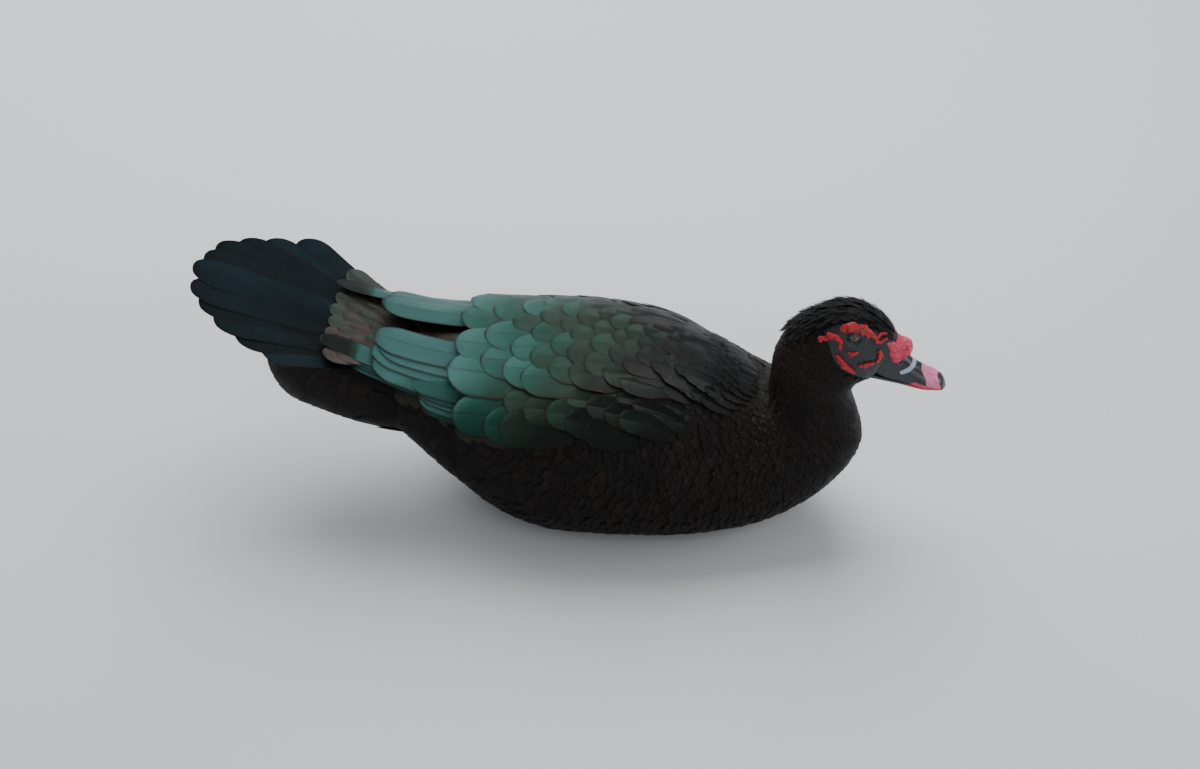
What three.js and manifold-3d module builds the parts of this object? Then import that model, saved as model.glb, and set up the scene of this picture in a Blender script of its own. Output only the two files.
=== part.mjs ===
// A life-size muscovy drake, resting on its belly with its feet tucked under, as it sits on water.
// Millimetres. +X runs to the bill, +Y to the duck's left, +Z up. The origin is on the floor, under the belly.
import * as THREE from "three";
import { mergeVertices } from "three/addons/utils/BufferGeometryUtils.js";
import Module from "manifold-3d";

const wasm = await Module();
wasm.setup();

// Driving dimensions.
const GAP = 0.3;
const PARTING = 0.3;
const VANE = 0.9;
const LID = 1.1;
const EYE_RADIUS = 6;
const EYE = new THREE.Vector3(248, 21, 230.8);
const KNOB = new THREE.Vector3(291, 0, 206);
const KNOB_RADIUS = 11;
const RUMP_X = -165;
const NECK_BASE = { back: [170, 156], front: [257, 92] };
const HEAD_BASE = { back: [176, 197], front: [250, 160] };
const BILL_BASE = { back: [284, 220], front: [266, 176] };
const TAIL_ROOT = new THREE.Vector3(-165.3, 0, 156);
const TAIL_TILT = THREE.MathUtils.degToRad(18.5);
const TAIL_DROOP = -0.0008;
const TAIL_LENGTH = 218;
const TAIL_SPREAD = 29;

// The flesh is a ladder of rungs from the back line to the belly line, in side view.
// Each rung: back x, back z, belly x, belly z, half width, height share of the widest point, squareness.
const RUNGS = [
  [-214, 150, -218, 110, 30, 0.5, 2.1],
  [-190, 156, -196, 86, 44, 0.5, 2.1],
  [-160, 163, -165, 66, 62, 0.48, 2.2],
  [-120, 168, -122, 38, 84, 0.46, 2.3],
  [-75, 173, -75, 10, 102, 0.45, 2.4],
  [-30, 178, -30, -3, 110, 0.45, 2.5],
  [20, 181, 20, -3, 112, 0.45, 2.5],
  [70, 177, 72, -3, 107, 0.44, 2.4],
  [112, 166, 125, 0, 96, 0.44, 2.3],
  [142, 153, 176, 12, 82, 0.44, 2.2],
  [160, 147, 218, 36, 68, 0.45, 2.1],
  [168, 149, 246, 64, 55, 0.47, 2],
  [170, 156, 258, 92, 45, 0.5, 2],
  [171, 166, 253, 120, 38, 0.5, 2],
  [172, 178, 246, 146, 33, 0.5, 2],
  [176, 197, 250, 160, 30, 0.5, 2],
  [190, 221, 256, 166, 29, 0.52, 2],
  [215, 239, 261, 169, 28, 0.54, 2.1],
  [242, 248, 264, 171, 27, 0.56, 2.2],
  [264, 241, 266, 173, 23, 0.55, 2.2],
  [279, 230, 268, 175, 18, 0.5, 2.1],
  [287, 220, 271, 177, 13, 0.45, 2.1],
];
const HEAD_START = 15;

// The bill's two halves are ladders too, from their upper line to their lower line.
const UPPER_BILL = [
  [283.5, 216, 263, 181.5, 14.5, 0.2, 2.2],
  [291, 203, 276, 177.5, 14, 0.12, 2.2],
  [302, 191.5, 293, 173.5, 12.5, 0.1, 2.3],
  [313, 184, 307, 169.5, 12.5, 0.1, 2.4],
  [322, 179.5, 319, 166.5, 12.5, 0.12, 2.4],
  [328, 175.5, 328, 164, 10, 0.2, 2.2],
  [332, 170, 332.5, 163, 4.5, 0.4, 2],
];
const LOWER_BILL = [
  [263, 180.9, 264, 171.5, 12.5, 0.75, 2.2],
  [276, 176.9, 276, 169.5, 11.5, 0.8, 2.3],
  [293, 172.9, 292, 166.5, 10.5, 0.85, 2.4],
  [307, 168.9, 306, 163.5, 10.5, 0.85, 2.4],
  [318, 166.1, 317, 161.5, 9, 0.8, 2.3],
  [325, 164, 324.5, 161.3, 5, 0.6, 2],
];

// The folded wings and the back feathers lie on a mantle over the flesh.
// Each station: x, top z, half width, z of the widest point.
const MANTLE = [
  [165, 151, 72, 84],
  [140, 160, 86, 88],
  [107, 172, 100, 90],
  [60, 183, 112, 92],
  [0, 187, 116, 93],
  [-50, 182, 115, 97],
  [-100, 178, 107, 106],
  [-150, 180, 95, 118],
  [-200, 189, 79, 154],
  [-245, 200, 68, 183],
];
const MANTLE_SQUARENESS = 2.4;
const MANTLE_STEPS = 48;

// The red bulbs of one side of the face, in side view, along a chain round the eye: x, z, radius.
const CARUNCLES = [
  [245.8, 214.6, 3.7],
  [234.3, 218, 3.6],
  [235, 225.6, 3.9],
  [232.4, 232.4, 4.1],
  [225.9, 233, 3.8],
  [219.4, 229.6, 3.6],
  [225.9, 233, 3.4],
  [232, 237.4, 2.8],
  [239.6, 241.2, 4.4],
  [246.6, 243.4, 4.9],
  [254, 242.8, 4.9],
  [261.2, 239.2, 4.5],
  [268.2, 233.4, 3.8],
  [274.2, 228.4, 3.4],
  [273.4, 218, 2.2],
  [272.2, 207.6, 4.1],
  [266.2, 201.6, 3.9],
  [259.2, 198.8, 4.4],
  [251.6, 195, 3.2],
  [244.6, 195.6, 4],
  [239.6, 201, 4],
  [235.4, 207.8, 3.8],
];
const FOLD_RADIUS = 2;

// Feathers under the tail: rungs as above.
const UNDERTAIL = [
  [-165.3, 140, -165.3, 67, 58, 0.5, 2.1],
  [-200, 150, -201, 76, 54, 0.5, 2.2],
  [-240, 160, -244, 85, 48, 0.5, 2.2],
  [-278, 171, -284, 96, 39, 0.5, 2.1],
  [-298, 178, -304, 120, 26, 0.5, 2.1],
  [-306, 181, -308, 152, 14, 0.5, 2],
];

const material = (color, roughness) => new THREE.MeshStandardMaterial({ color, roughness, metalness: 0 });
const MATERIALS = {
  body: material(0x191513, 0.7),
  sheen: material(0x2f5c52, 0.45),
  tail: material(0x12201d, 0.5),
  skin: material(0x14100f, 0.6),
  caruncle: material(0xa8102a, 0.5),
  knob: material(0xb83048, 0.5),
  bill: material(0x191a22, 0.4),
  nail: material(0x0e0d0f, 0.35),
  pink: material(0xb06a80, 0.4),
  eye: material(0x4a3214, 0.15),
  foot: material(0x3b3428, 0.7),
};

// Turns an indexed list of triangles, or a geometry, into a solid with its faces outwards.
function solidOf(geometry) {
  const bare = new THREE.BufferGeometry();
  bare.setAttribute("position", geometry.getAttribute("position"));
  bare.setIndex(geometry.index);
  const merged = mergeVertices(bare, 1e-4);
  const triVerts = new Uint32Array(merged.index.array);
  const made = new wasm.Manifold(
    new wasm.Mesh({ numProp: 3, vertProperties: merged.attributes.position.array, triVerts }),
  );
  if (made.volume() > 0) return made;
  for (let i = 0; i < triVerts.length; i += 3) {
    [triVerts[i + 1], triVerts[i + 2]] = [triVerts[i + 2], triVerts[i + 1]];
  }
  return new wasm.Manifold(
    new wasm.Mesh({ numProp: 3, vertProperties: merged.attributes.position.array, triVerts }),
  );
}

function geometryOf(points, index) {
  const geometry = new THREE.BufferGeometry().setFromPoints(points);
  geometry.setIndex(index);
  return geometry;
}

// Keeps the largest closed surface of a solid.
function largest(solid) {
  const pieces = solid.decompose();
  return pieces.reduce((best, piece) => (piece.volume() > best.volume() ? piece : best));
}

function meshNode(name, solid, finish) {
  const mesh = largest(solid).getMesh();
  const geometry = new THREE.BufferGeometry();
  geometry.setAttribute("position", new THREE.BufferAttribute(new Float32Array(mesh.vertProperties), 3));
  geometry.setIndex(new THREE.BufferAttribute(new Uint32Array(mesh.triVerts), 1));
  const node = new THREE.Mesh(geometry, finish);
  node.name = name;
  return node;
}

// A curve through stations, each a list of numbers, read at a station index that need not be whole.
function stationCurve(stations) {
  const columns = [];
  for (let first = 0; first < stations[0].length; first += 3) {
    const points = stations.map((s) => new THREE.Vector3(s[first], s[first + 1] ?? 0, s[first + 2] ?? 0));
    columns.push(new THREE.CatmullRomCurve3(points, false, "catmullrom", 0.5));
  }
  return (at) => {
    const share = THREE.MathUtils.clamp(at / (stations.length - 1), 0, 1);
    return columns.flatMap((curve) => curve.getPoint(share).toArray()).slice(0, stations[0].length);
  };
}

// A point on a ladder's surface. Angle 0 is at the upper line and 90 degrees is on the left.
function ladderPoint(read, at, angle, grow = 0) {
  const [upX, upZ, lowX, lowZ, halfWidth, widest, square] = read(at);
  const c = Math.cos(angle);
  const s = Math.sin(angle);
  const power = 2 / square;
  const height = Math.abs(c) ** power;
  const share = c >= 0 ? widest + (1 - widest) * height : widest * (1 - height);
  const up = new THREE.Vector3(upX, 0, upZ);
  const low = new THREE.Vector3(lowX, 0, lowZ);
  const rung = up.clone().sub(low).normalize();
  up.addScaledVector(rung, grow);
  low.addScaledVector(rung, -grow);
  const point = low.lerp(up, share);
  point.y = (halfWidth + grow) * Math.sign(s) * Math.abs(s) ** power;
  return point;
}

// The closed solid between two stations of a ladder.
function ladderSolid(stations, along, around, grow = 0, from = 0, to = stations.length - 1) {
  const read = stationCurve(stations);
  const points = [];
  for (let i = 0; i <= along; i++) {
    for (let j = 0; j < around; j++) {
      points.push(ladderPoint(read, from + ((to - from) * i) / along, (2 * Math.PI * j) / around, grow));
    }
  }
  const index = [];
  for (let i = 0; i < along; i++) {
    for (let j = 0; j < around; j++) {
      const a = i * around + j;
      const b = i * around + ((j + 1) % around);
      index.push(a, b, b + around, a, b + around, a + around);
    }
  }
  for (const [ring, flip] of [
    [0, true],
    [along, false],
  ]) {
    const centre = points.length;
    const rim = points.slice(ring * around, (ring + 1) * around);
    points.push(rim.reduce((sum, p) => sum.add(p), new THREE.Vector3()).divideScalar(around));
    for (let j = 0; j < around; j++) {
      const a = ring * around + j;
      const b = ring * around + ((j + 1) % around);
      if (flip) index.push(centre, b, a);
      else index.push(centre, a, b);
    }
  }
  return solidOf(geometryOf(points, index));
}

// A closed sheet between an upper and a lower surface, split into triangles alike on both.
function sheetSolid(upper, lower, along, across) {
  const points = [];
  for (const surface of [upper, lower]) {
    for (let i = 0; i <= along; i++) {
      for (let j = 0; j <= across; j++) points.push(surface(i / along, (2 * j) / across - 1));
    }
  }
  const row = across + 1;
  const under = (along + 1) * row;
  const index = [];
  for (let i = 0; i < along; i++) {
    for (let j = 0; j < across; j++) {
      const a = i * row + j;
      const [b, c, d] = [a + 1, a + row, a + row + 1];
      const split = j < across / 2 ? [a, b, d, a, d, c] : [a, b, c, b, d, c];
      index.push(...split);
      for (let k = 0; k < 6; k += 3) index.push(split[k] + under, split[k + 2] + under, split[k + 1] + under);
    }
  }
  const wall = (a, b) => index.push(b, a, a + under, b, a + under, b + under);
  for (let j = 0; j < across; j++) {
    wall(j, j + 1);
    wall(along * row + j + 1, along * row + j);
  }
  for (let i = 0; i < along; i++) {
    wall((i + 1) * row, i * row);
    wall(i * row + across, (i + 1) * row + across);
  }
  return solidOf(geometryOf(points, index));
}

function unionOf(solids) {
  return solids.reduce((sum, solid) => sum.add(solid));
}

function ball(centre, radii, detail = 10) {
  const geometry = new THREE.SphereGeometry(1, detail, Math.ceil(detail * 0.6));
  geometry.scale(radii.x, radii.y, radii.z);
  geometry.translate(centre.x, centre.y, centre.z);
  return solidOf(geometry);
}

const mirrored = (solid) => solid.mirror([0, 1, 0]);

// The side of a plane through a rung, as [normal, offset], for a thin cut across the flesh.
function rungPlane({ back, front }) {
  const along = new THREE.Vector3(front[0] - back[0], 0, front[1] - back[1]).normalize();
  const normal = new THREE.Vector3(-along.z, 0, along.x);
  return [normal.toArray(), normal.dot(new THREE.Vector3(back[0], 0, back[1]))];
}

const above = (solid, [normal, offset]) => solid.trimByPlane(normal, offset + PARTING / 2);
const below = (solid, [normal, offset]) =>
  solid.trimByPlane(
    normal.map((n) => -n),
    -offset + PARTING / 2,
  );

// The mantle's section at x: a point at an arc distance from the midline and a height over the surface.
const mantleRead = stationCurve(MANTLE);
function mantleSection(x) {
  let low = 0;
  let high = MANTLE.length - 1;
  for (let i = 0; i < 24; i++) {
    const middle = (low + high) / 2;
    if (mantleRead(middle)[0] > x) low = middle;
    else high = middle;
  }
  const [, top, halfWidth, side] = mantleRead(low);
  const power = 2 / MANTLE_SQUARENESS;
  const points = [];
  let length = 0;
  for (let i = 0; i <= MANTLE_STEPS; i++) {
    const angle = (Math.PI / 2) * (i / MANTLE_STEPS);
    const y = halfWidth * Math.sin(angle) ** power;
    const z = side + (top - side) * Math.abs(Math.cos(angle)) ** power;
    if (i) length += Math.hypot(y - points[i - 1].y, z - points[i - 1].z);
    points.push({ y, z, length });
  }
  return points;
}

const sections = new Map();
function mantlePoint(x, arc, height) {
  const key = x.toFixed(2);
  if (!sections.has(key)) sections.set(key, mantleSection(x));
  const points = sections.get(key);
  const distance = Math.abs(arc);
  const last = points[points.length - 1];
  let y = last.y;
  let z = last.z - (distance - last.length);
  let normal = [1, 0];
  if (distance < last.length) {
    const i = points.findIndex((p) => p.length >= distance) || 1;
    const [p, q] = [points[i - 1], points[i]];
    const share = (distance - p.length) / (q.length - p.length);
    y = p.y + (q.y - p.y) * share;
    z = p.z + (q.z - p.z) * share;
    const step = Math.hypot(q.y - p.y, q.z - p.z);
    normal = [-(q.z - p.z) / step, (q.y - p.y) / step];
  }
  const side = arc < 0 ? -1 : 1;
  return new THREE.Vector3(x, side * (y + height * normal[0]), z + height * normal[1]);
}

// The tail's fan: distance back from the root, distance to the side, height over the fan.
function tailPoint(back, side, height) {
  const rise = height - TAIL_DROOP * side * side;
  return new THREE.Vector3(
    TAIL_ROOT.x - back * Math.cos(TAIL_TILT) + rise * Math.sin(TAIL_TILT),
    side,
    TAIL_ROOT.z + back * Math.sin(TAIL_TILT) + rise * Math.cos(TAIL_TILT),
  );
}

const lerp = THREE.MathUtils.lerp;

// The flesh, whole, before it is parted.
const flesh = ladderSolid(RUNGS, 40, 20);
const fleshGrown = ladderSolid(RUNGS, 40, 20, GAP + 0.15);
const neckPlane = rungPlane(NECK_BASE);
const headPlane = rungPlane(HEAD_BASE);
const billPlane = rungPlane(BILL_BASE);

// One eye, and a little larger for its socket. Its lids stand round it as a rim, flat at the eye's middle.
const EYE_SHAPE = new THREE.Vector3(1, 0.75, 1);
const eye = (grow = 0) => ball(EYE, EYE_SHAPE.clone().multiplyScalar(EYE_RADIUS).addScalar(grow), 10);
function lids(grow = 0) {
  const rim = new THREE.TorusGeometry(EYE_RADIUS - 0.2, LID + grow, 4, 12);
  rim.rotateX(Math.PI / 2);
  rim.scale(1.12, 1, 0.86);
  rim.rotateY(THREE.MathUtils.degToRad(8));
  rim.translate(EYE.x, EYE.y + 1.9, EYE.z);
  return solidOf(rim);
}

// A foot lies flat under the belly: three toes with a web between them, and the shank behind.
const FOOT = {
  heel: new THREE.Vector3(-46, 38, 4.2),
  shankEnd: new THREE.Vector3(-104, 40, 12),
  toeLengths: [58, 76, 62],
  toeAngles: [-22, 0, 22],
  toeRadius: 4,
  webThickness: 2.4,
};
function foot(grow = 0) {
  const r = FOOT.toeRadius + grow;
  const pieces = [];
  const tips = FOOT.toeLengths.map((length, i) => {
    const turn = THREE.MathUtils.degToRad(FOOT.toeAngles[i]);
    return new THREE.Vector3(
      FOOT.heel.x + (length + grow) * Math.cos(turn),
      FOOT.heel.y + (length + grow) * Math.sin(turn),
      FOOT.heel.z,
    );
  });
  for (const tip of tips) pieces.push(cone(FOOT.heel, tip, r, r * 0.5, 5));
  const rear = new THREE.Vector3(FOOT.heel.x - 2, FOOT.heel.y, FOOT.heel.z);
  pieces.push(cone(FOOT.shankEnd, rear, r * 1.25, r * 1.1, 5));
  const web = new THREE.Shape();
  web.moveTo(FOOT.heel.x - grow, FOOT.heel.y);
  tips.forEach((tip, i) => {
    web.lineTo(lerp(FOOT.heel.x, tip.x, 0.94), lerp(FOOT.heel.y, tip.y, 0.94));
    if (i < 2) {
      const next = tips[i + 1];
      web.lineTo(lerp(FOOT.heel.x, (tip.x + next.x) / 2, 0.86), lerp(FOOT.heel.y, (tip.y + next.y) / 2, 0.86));
    }
  });
  web.closePath();
  const sheet = new THREE.ExtrudeGeometry(web, {
    depth: FOOT.webThickness + 2 * grow,
    bevelEnabled: false,
    });
  sheet.translate(0, 0, 0.6 - grow);
  pieces.push(solidOf(sheet));
  return unionOf(pieces);
}

// A tapered round bar from one point to another.
function cone(from, to, startRadius, endRadius, sides) {
  const length = from.distanceTo(to);
  const bar = new THREE.CylinderGeometry(endRadius, startRadius, length, sides, 1);
  bar.translate(0, length / 2, 0);
  const along = to.clone().sub(from).normalize();
  bar.applyQuaternion(new THREE.Quaternion().setFromUnitVectors(new THREE.Vector3(0, 1, 0), along));
  bar.translate(from.x, from.y, from.z);
  return solidOf(bar);
}

const FLOOR = [[0, 0, 1], 0];
const overFloor = (solid) => solid.trimByPlane(...FLOOR);

// Seeded numbers between -1 and 1, so that no two feathers lie quite alike.
let seed = 20;
function vary(amount) {
  seed = (seed * 16807) % 2147483647;
  return amount * ((2 * seed) / 2147483647 - 1);
}

// A feather vane: a thin sheet that rises from its sunk root to a rounded tip.
// place gives the point at a distance along, a distance to the side and a height.
const SHORT_VANE = [0, 0.4, 0.82, 1];
const LONG_VANE = [0, 0.35, 0.72, 0.92, 1];
function vane(place, { length, halfWidth, sink = 1.3, rise = 1, across = 1, stations = SHORT_VANE }) {
  const sheet = (drop) => (u, v) => {
    const share = stations[Math.round(u * (stations.length - 1))];
    const tip = Math.max(0, (share - 0.55) / 0.45);
    const width = halfWidth * (0.55 + 0.45 * THREE.MathUtils.smoothstep(share, 0, 0.4)) * Math.sqrt(1 - 0.93 * tip ** 2);
    const level = rise * share - sink * (1 - THREE.MathUtils.smoothstep(share, 0, 0.3));
    return place(length * share, width * v, level - drop * (1 - 0.35 * share));
  };
  return sheetSolid(sheet(0), sheet(VANE), stations.length - 1, across);
}

// The place function of a feather on the mantle, which heads back with a drift in arc per length.
const onMantle = (x, arc, drift, height) => (along, side, level) =>
  mantlePoint(x - along, arc + drift * along + side, height(x - along) + level);

function mantlePad({ front, rear, inner, outer, top, bottom, along, across }) {
  const surface = (height) => (u, v) =>
    mantlePoint(lerp(front, rear, u), lerp(inner(u), outer(u), (v + 1) / 2), height);
  return sheetSolid(surface(top), surface(bottom), along, across);
}

// The shoulder feathers of the left side: a pad over the back, with staggered rows of vanes.
const SCAPULARS = {
  roots: [140, 115, 80, 40, -4, -48],
  lengths: [38, 52, 62, 68, 72, 92],
  inner: 0.5,
  outer: [50, 66],
  riseShare: 0.038,
};
function scapulars() {
  const { roots, lengths, inner, outer, riseShare } = SCAPULARS;
  const pad = mantlePad({
    front: 146,
    rear: -62,
    inner: () => 1,
    outer: (u) => lerp(48, 64, u),
    top: -0.6,
    bottom: -7,
    along: 6,
    across: 3,
  });
  const pieces = [pad];
  roots.forEach((root, row) => {
    const edge = lerp(outer[0], outer[1], row / (roots.length - 1));
    const count = 3 + (row % 2);
    const pitch = (edge - inner) / count;
    for (let k = 0; k < count; k++) {
      const place = onMantle(root - Math.abs(vary(4)), inner + pitch * (k + 0.5), 0, () => -0.4);
      const size = { length: lengths[row], halfWidth: pitch * 0.48, rise: riseShare * lengths[row], across: row > 2 ? 2 : 1 };
      pieces.push(vane(place, size));
    }
  });
  return unionOf(pieces).subtract(fleshGrown);
}

// The folded left wing: rows of coverts, then the secondaries, tertials and primaries, each lower than the last.
const WING_LEVEL = -5;
const wingHeight = (x) => lerp(WING_LEVEL, -1.4, THREE.MathUtils.smoothstep(-x, 147, 203));
const COVERTS = { rows: 4, perRow: 3, front: 122, rear: -20, inner: 72, outer: [93, 116], length: [56, 66] };
const FLIGHT = [
  // Secondaries, tertials and primaries: count, root x, root arc of the first and last, drift, length, half width, level.
  { count: 5, x: [-40, -50], arc: [80, 110], drift: [-0.18, -0.28], length: [128, 102], halfWidth: 9, level: [-1.2, -5.6] },
  { count: 4, x: [-70, -76], arc: [32, 66], drift: [-0.08, -0.16], length: [131, 118], halfWidth: 10.5, level: [-0.6, -3.9] },
  { count: 4, x: [-112, -116], arc: [58, 76], drift: [-0.13, -0.2], length: [134, 108], halfWidth: 8, level: [-5.2, -8.8] },
];
function wing() {
  const { rows, perRow, front, rear, inner, outer, length } = COVERTS;
  const shoulder = mantlePad({
    front: 130,
    rear: -86,
    inner: () => inner + 1,
    outer: (u) => lerp(88, 115, Math.min(1, u * 2.5)),
    top: -2.6,
    bottom: -9.5,
    along: 6,
    across: 2,
  });
  const rump = mantlePad({
    front: -68,
    rear: -126,
    inner: () => 24,
    outer: (u) => lerp(96, 74, u),
    top: WING_LEVEL - 1.4,
    bottom: -14,
    along: 2,
    across: 2,
  });
  const pieces = [shoulder, rump];
  for (let row = 0; row < rows; row++) {
    const share = row / (rows - 1);
    const edge = lerp(outer[0], outer[1], Math.min(1, share * 2));
    const pitch = (edge - inner) / perRow;
    for (let k = 0; k < perRow; k++) {
      const x = lerp(front, rear, share) - Math.abs(vary(4)) - 5 * (k % 2);
      const place = onMantle(x, inner + pitch * (k + 0.5), 0, () => -2.4);
      pieces.push(vane(place, { length: lerp(length[0], length[1], share), halfWidth: pitch * 0.47, rise: 2.2 }));
    }
  }
  for (const { count, x, arc, drift, length: long, halfWidth, level } of FLIGHT) {
    for (let k = 0; k < count; k++) {
      const share = k / (count - 1);
      const lift = lerp(level[0], level[1], share);
      const place = onMantle(
        lerp(x[0], x[1], share),
        lerp(arc[0], arc[1], share),
        lerp(drift[0], drift[1], share),
        (at) => wingHeight(at) + lift,
      );
      const size = { length: lerp(long[0], long[1], share), halfWidth, sink: 2.2, rise: 0.3, stations: LONG_VANE };
      pieces.push(vane(place, size));
    }
  }
  return unionOf(pieces).subtract(fleshGrown);
}

// The tail: a core with a fan of long vanes, the middle one on top and the outer ones lowest.
const TAIL = { perSide: 7, levelStep: 1.15, halfWidth: 13.5, root: 24, rootSpread: 44, outerShare: 0.68 };
const inFan = (angle, height) => (along, side, level) => {
  const [c, s] = [Math.cos(angle), Math.sin(angle)];
  return tailPoint(TAIL.root + along * c - side * s, angle * TAIL.rootSpread + along * s + side * c, height + level);
};
function tail() {
  const core = sheetSolid(
    (u, v) => tailPoint(lerp(0.2, 62, u), v * lerp(30, 38, u), -0.3),
    (u, v) => tailPoint(lerp(0.2, 62, u), v * lerp(30, 38, u), lerp(-13, -10, u)),
    2,
    4,
  );
  const pieces = [core];
  for (let k = -TAIL.perSide; k <= TAIL.perSide; k++) {
    const share = k / TAIL.perSide;
    const angle = THREE.MathUtils.degToRad(TAIL_SPREAD * share);
    const length = lerp(TAIL_LENGTH, TAIL_LENGTH * TAIL.outerShare, share ** 2) - TAIL.root;
    const size = { length, halfWidth: TAIL.halfWidth, sink: 1, rise: 0, stations: LONG_VANE };
    pieces.push(vane(inFan(angle, -TAIL.levelStep * Math.abs(k)), size));
  }
  return unionOf(pieces);
}

// The coverts over the tail's root, in two rows.
const UPPER_COVERTS = { rows: [3, 4], root: [6, 32], length: [46, 50], halfWidth: 10 };
function upperCoverts() {
  const core = sheetSolid(
    (u, v) => tailPoint(lerp(0, 46, u), v * 31, lerp(6, 2.4, u)),
    (u, v) => tailPoint(lerp(0, 46, u), v * 31, GAP + 0.05),
    3,
    3,
  );
  const pieces = [core];
  UPPER_COVERTS.rows.forEach((count, row) => {
    for (let k = 0; k < count; k++) {
      const spot = (k + 0.5) / count - 0.5;
      const height = lerp(6, 2.4, UPPER_COVERTS.root[row] / 46);
      const place = (along, side, level) =>
        tailPoint(UPPER_COVERTS.root[row] + along, spot * 60 * (1 + along / 160) + side, height + level);
      pieces.push(vane(place, { length: UPPER_COVERTS.length[row], halfWidth: (30 / count) * 0.96, rise: row ? 1.5 : 0.4 }));
    }
  });
  return unionOf(pieces).trimByPlane([-1, 0, 0], -TAIL_ROOT.x);
}

// The feathers under the tail: a soft mass with vanes along its sides and underneath.
const UNDER_VANES = { rungs: [0.9, 2], angles: [75, 125, 180, 235, 285], reach: 1.7, halfWidth: 9 };
function underCoverts() {
  const read = stationCurve(UNDERTAIL);
  const pieces = [ladderSolid(UNDERTAIL, 6, 12)];
  for (const rung of UNDER_VANES.rungs) {
    for (const degrees of UNDER_VANES.angles) {
      const angle = THREE.MathUtils.degToRad(degrees);
      const place = (along, side, level) =>
        ladderPoint(read, rung + UNDER_VANES.reach * along, angle + side / 40, level);
      pieces.push(vane(place, { length: 1, halfWidth: UNDER_VANES.halfWidth, rise: 2.4, sink: 2 }));
    }
  }
  return unionOf(pieces);
}

// The half width of the flesh at a place on the head, in side view.
const fleshRead = stationCurve(RUNGS);
function headSide(x, z) {
  const miss = (at) => {
    const [upX, upZ, lowX, lowZ] = fleshRead(at);
    return (upX - lowX) * (z - lowZ) - (upZ - lowZ) * (x - lowX);
  };
  let low = HEAD_START - 1;
  let high = RUNGS.length - 1;
  for (let i = 0; i < 24; i++) {
    const middle = (low + high) / 2;
    if (miss(middle) > 0 === miss(high) > 0) high = middle;
    else low = middle;
  }
  const [upX, upZ, lowX, lowZ, halfWidth, widest, square] = fleshRead(low);
  const share = Math.hypot(x - lowX, z - lowZ) / Math.hypot(upX - lowX, upZ - lowZ);
  const reach = share > widest ? (share - widest) / (1 - widest) : (widest - share) / widest;
  return halfWidth * Math.max(0, 1 - Math.min(1, reach) ** square) ** (1 / square);
}

// The chain of bulbs on the left of the face, joined by low folds.
function caruncles(grow = 0) {
  const places = CARUNCLES.map(([x, z, radius]) => ({
    at: new THREE.Vector3(x, headSide(x, z), z),
    radius: radius + grow,
  }));
  const pieces = places.map(({ at, radius }) => ball(at, new THREE.Vector3(radius, radius * 0.8, radius), 6));
  for (let i = 1; i < places.length; i++) {
    const [a, b] = [places[i - 1], places[i]];
    if (a.at.distanceTo(b.at) < 0.8 * (a.radius + b.radius)) continue;
    pieces.push(cone(a.at, b.at, FOLD_RADIUS + grow, FOLD_RADIUS + grow, 4));
  }
  return unionOf(pieces);
}

// The crest: tapered feathers in rows over the crown, which lift and curl back to the nape.
const CREST = {
  rows: [
    { rung: 20.3, count: 2 },
    { rung: 19.5, count: 2 },
    { rung: 18.7, count: 2 },
    { rung: 17.8, count: 3 },
    { rung: 16.9, count: 4 },
  ],
  reach: 1.25,
  halfWidth: 3,
  lift: 6,
  pitch: 0.19,
  radius: 28,
};
function crest() {
  const along = (u) => lerp(20.5, 15.9, u);
  const span = (u, v) => v * lerp(0.17, 0.42, THREE.MathUtils.smoothstep(u, 0.5, 0.8));
  const core = sheetSolid(
    (u, v) => ladderPoint(fleshRead, along(u), span(u, v), 1.5),
    (u, v) => ladderPoint(fleshRead, along(u), span(u, v), 0),
    8,
    2,
  );
  const pieces = [core];
  for (const { rung, count } of CREST.rows) {
    for (let k = 0; k < count; k++) {
      const angle = CREST.pitch * (k - (count - 1) / 2);
      const place = (share, side, level) =>
        ladderPoint(fleshRead, rung - CREST.reach * share, angle * (1 + 0.3 * share) + side / CREST.radius, 2 + level);
      const lift = CREST.lift + vary(1.5);
      pieces.push(vane(place, { length: 1, halfWidth: CREST.halfWidth, rise: lift, stations: [0, 0.35, 0.7, 1] }));
    }
  }
  return unionOf(pieces).subtract(fleshGrown);
}

const group = new THREE.Group();
const add = (name, solid, finish) => group.add(meshNode(name, solid, finish));

const feet = foot(GAP).add(mirrored(foot(GAP)));
const torso = overFloor(below(flesh, neckPlane).subtract(feet)).trimByPlane([1, 0, 0], RUMP_X);
add("torso", torso, MATERIALS.body);
add("neck", below(above(flesh, neckPlane), headPlane), MATERIALS.body);
add("foot_left", overFloor(foot()), MATERIALS.foot);
add("foot_right", overFloor(mirrored(foot())), MATERIALS.foot);

const sockets = eye(GAP).add(mirrored(eye(GAP)));
add("eye_left", eye(), MATERIALS.eye);
add("eye_right", mirrored(eye()), MATERIALS.eye);

const bothSides = (name, solid, finish) => {
  add(`${name}_left`, solid, finish);
  add(`${name}_right`, mirrored(solid), finish);
};
const eyeRims = lids().add(mirrored(lids()));
const lidsGrown = lids(GAP);
const headSolid = below(above(flesh, headPlane), billPlane).add(eyeRims).subtract(sockets);
add("head", headSolid, MATERIALS.skin);
add("crest", crest(), MATERIALS.body);

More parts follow.
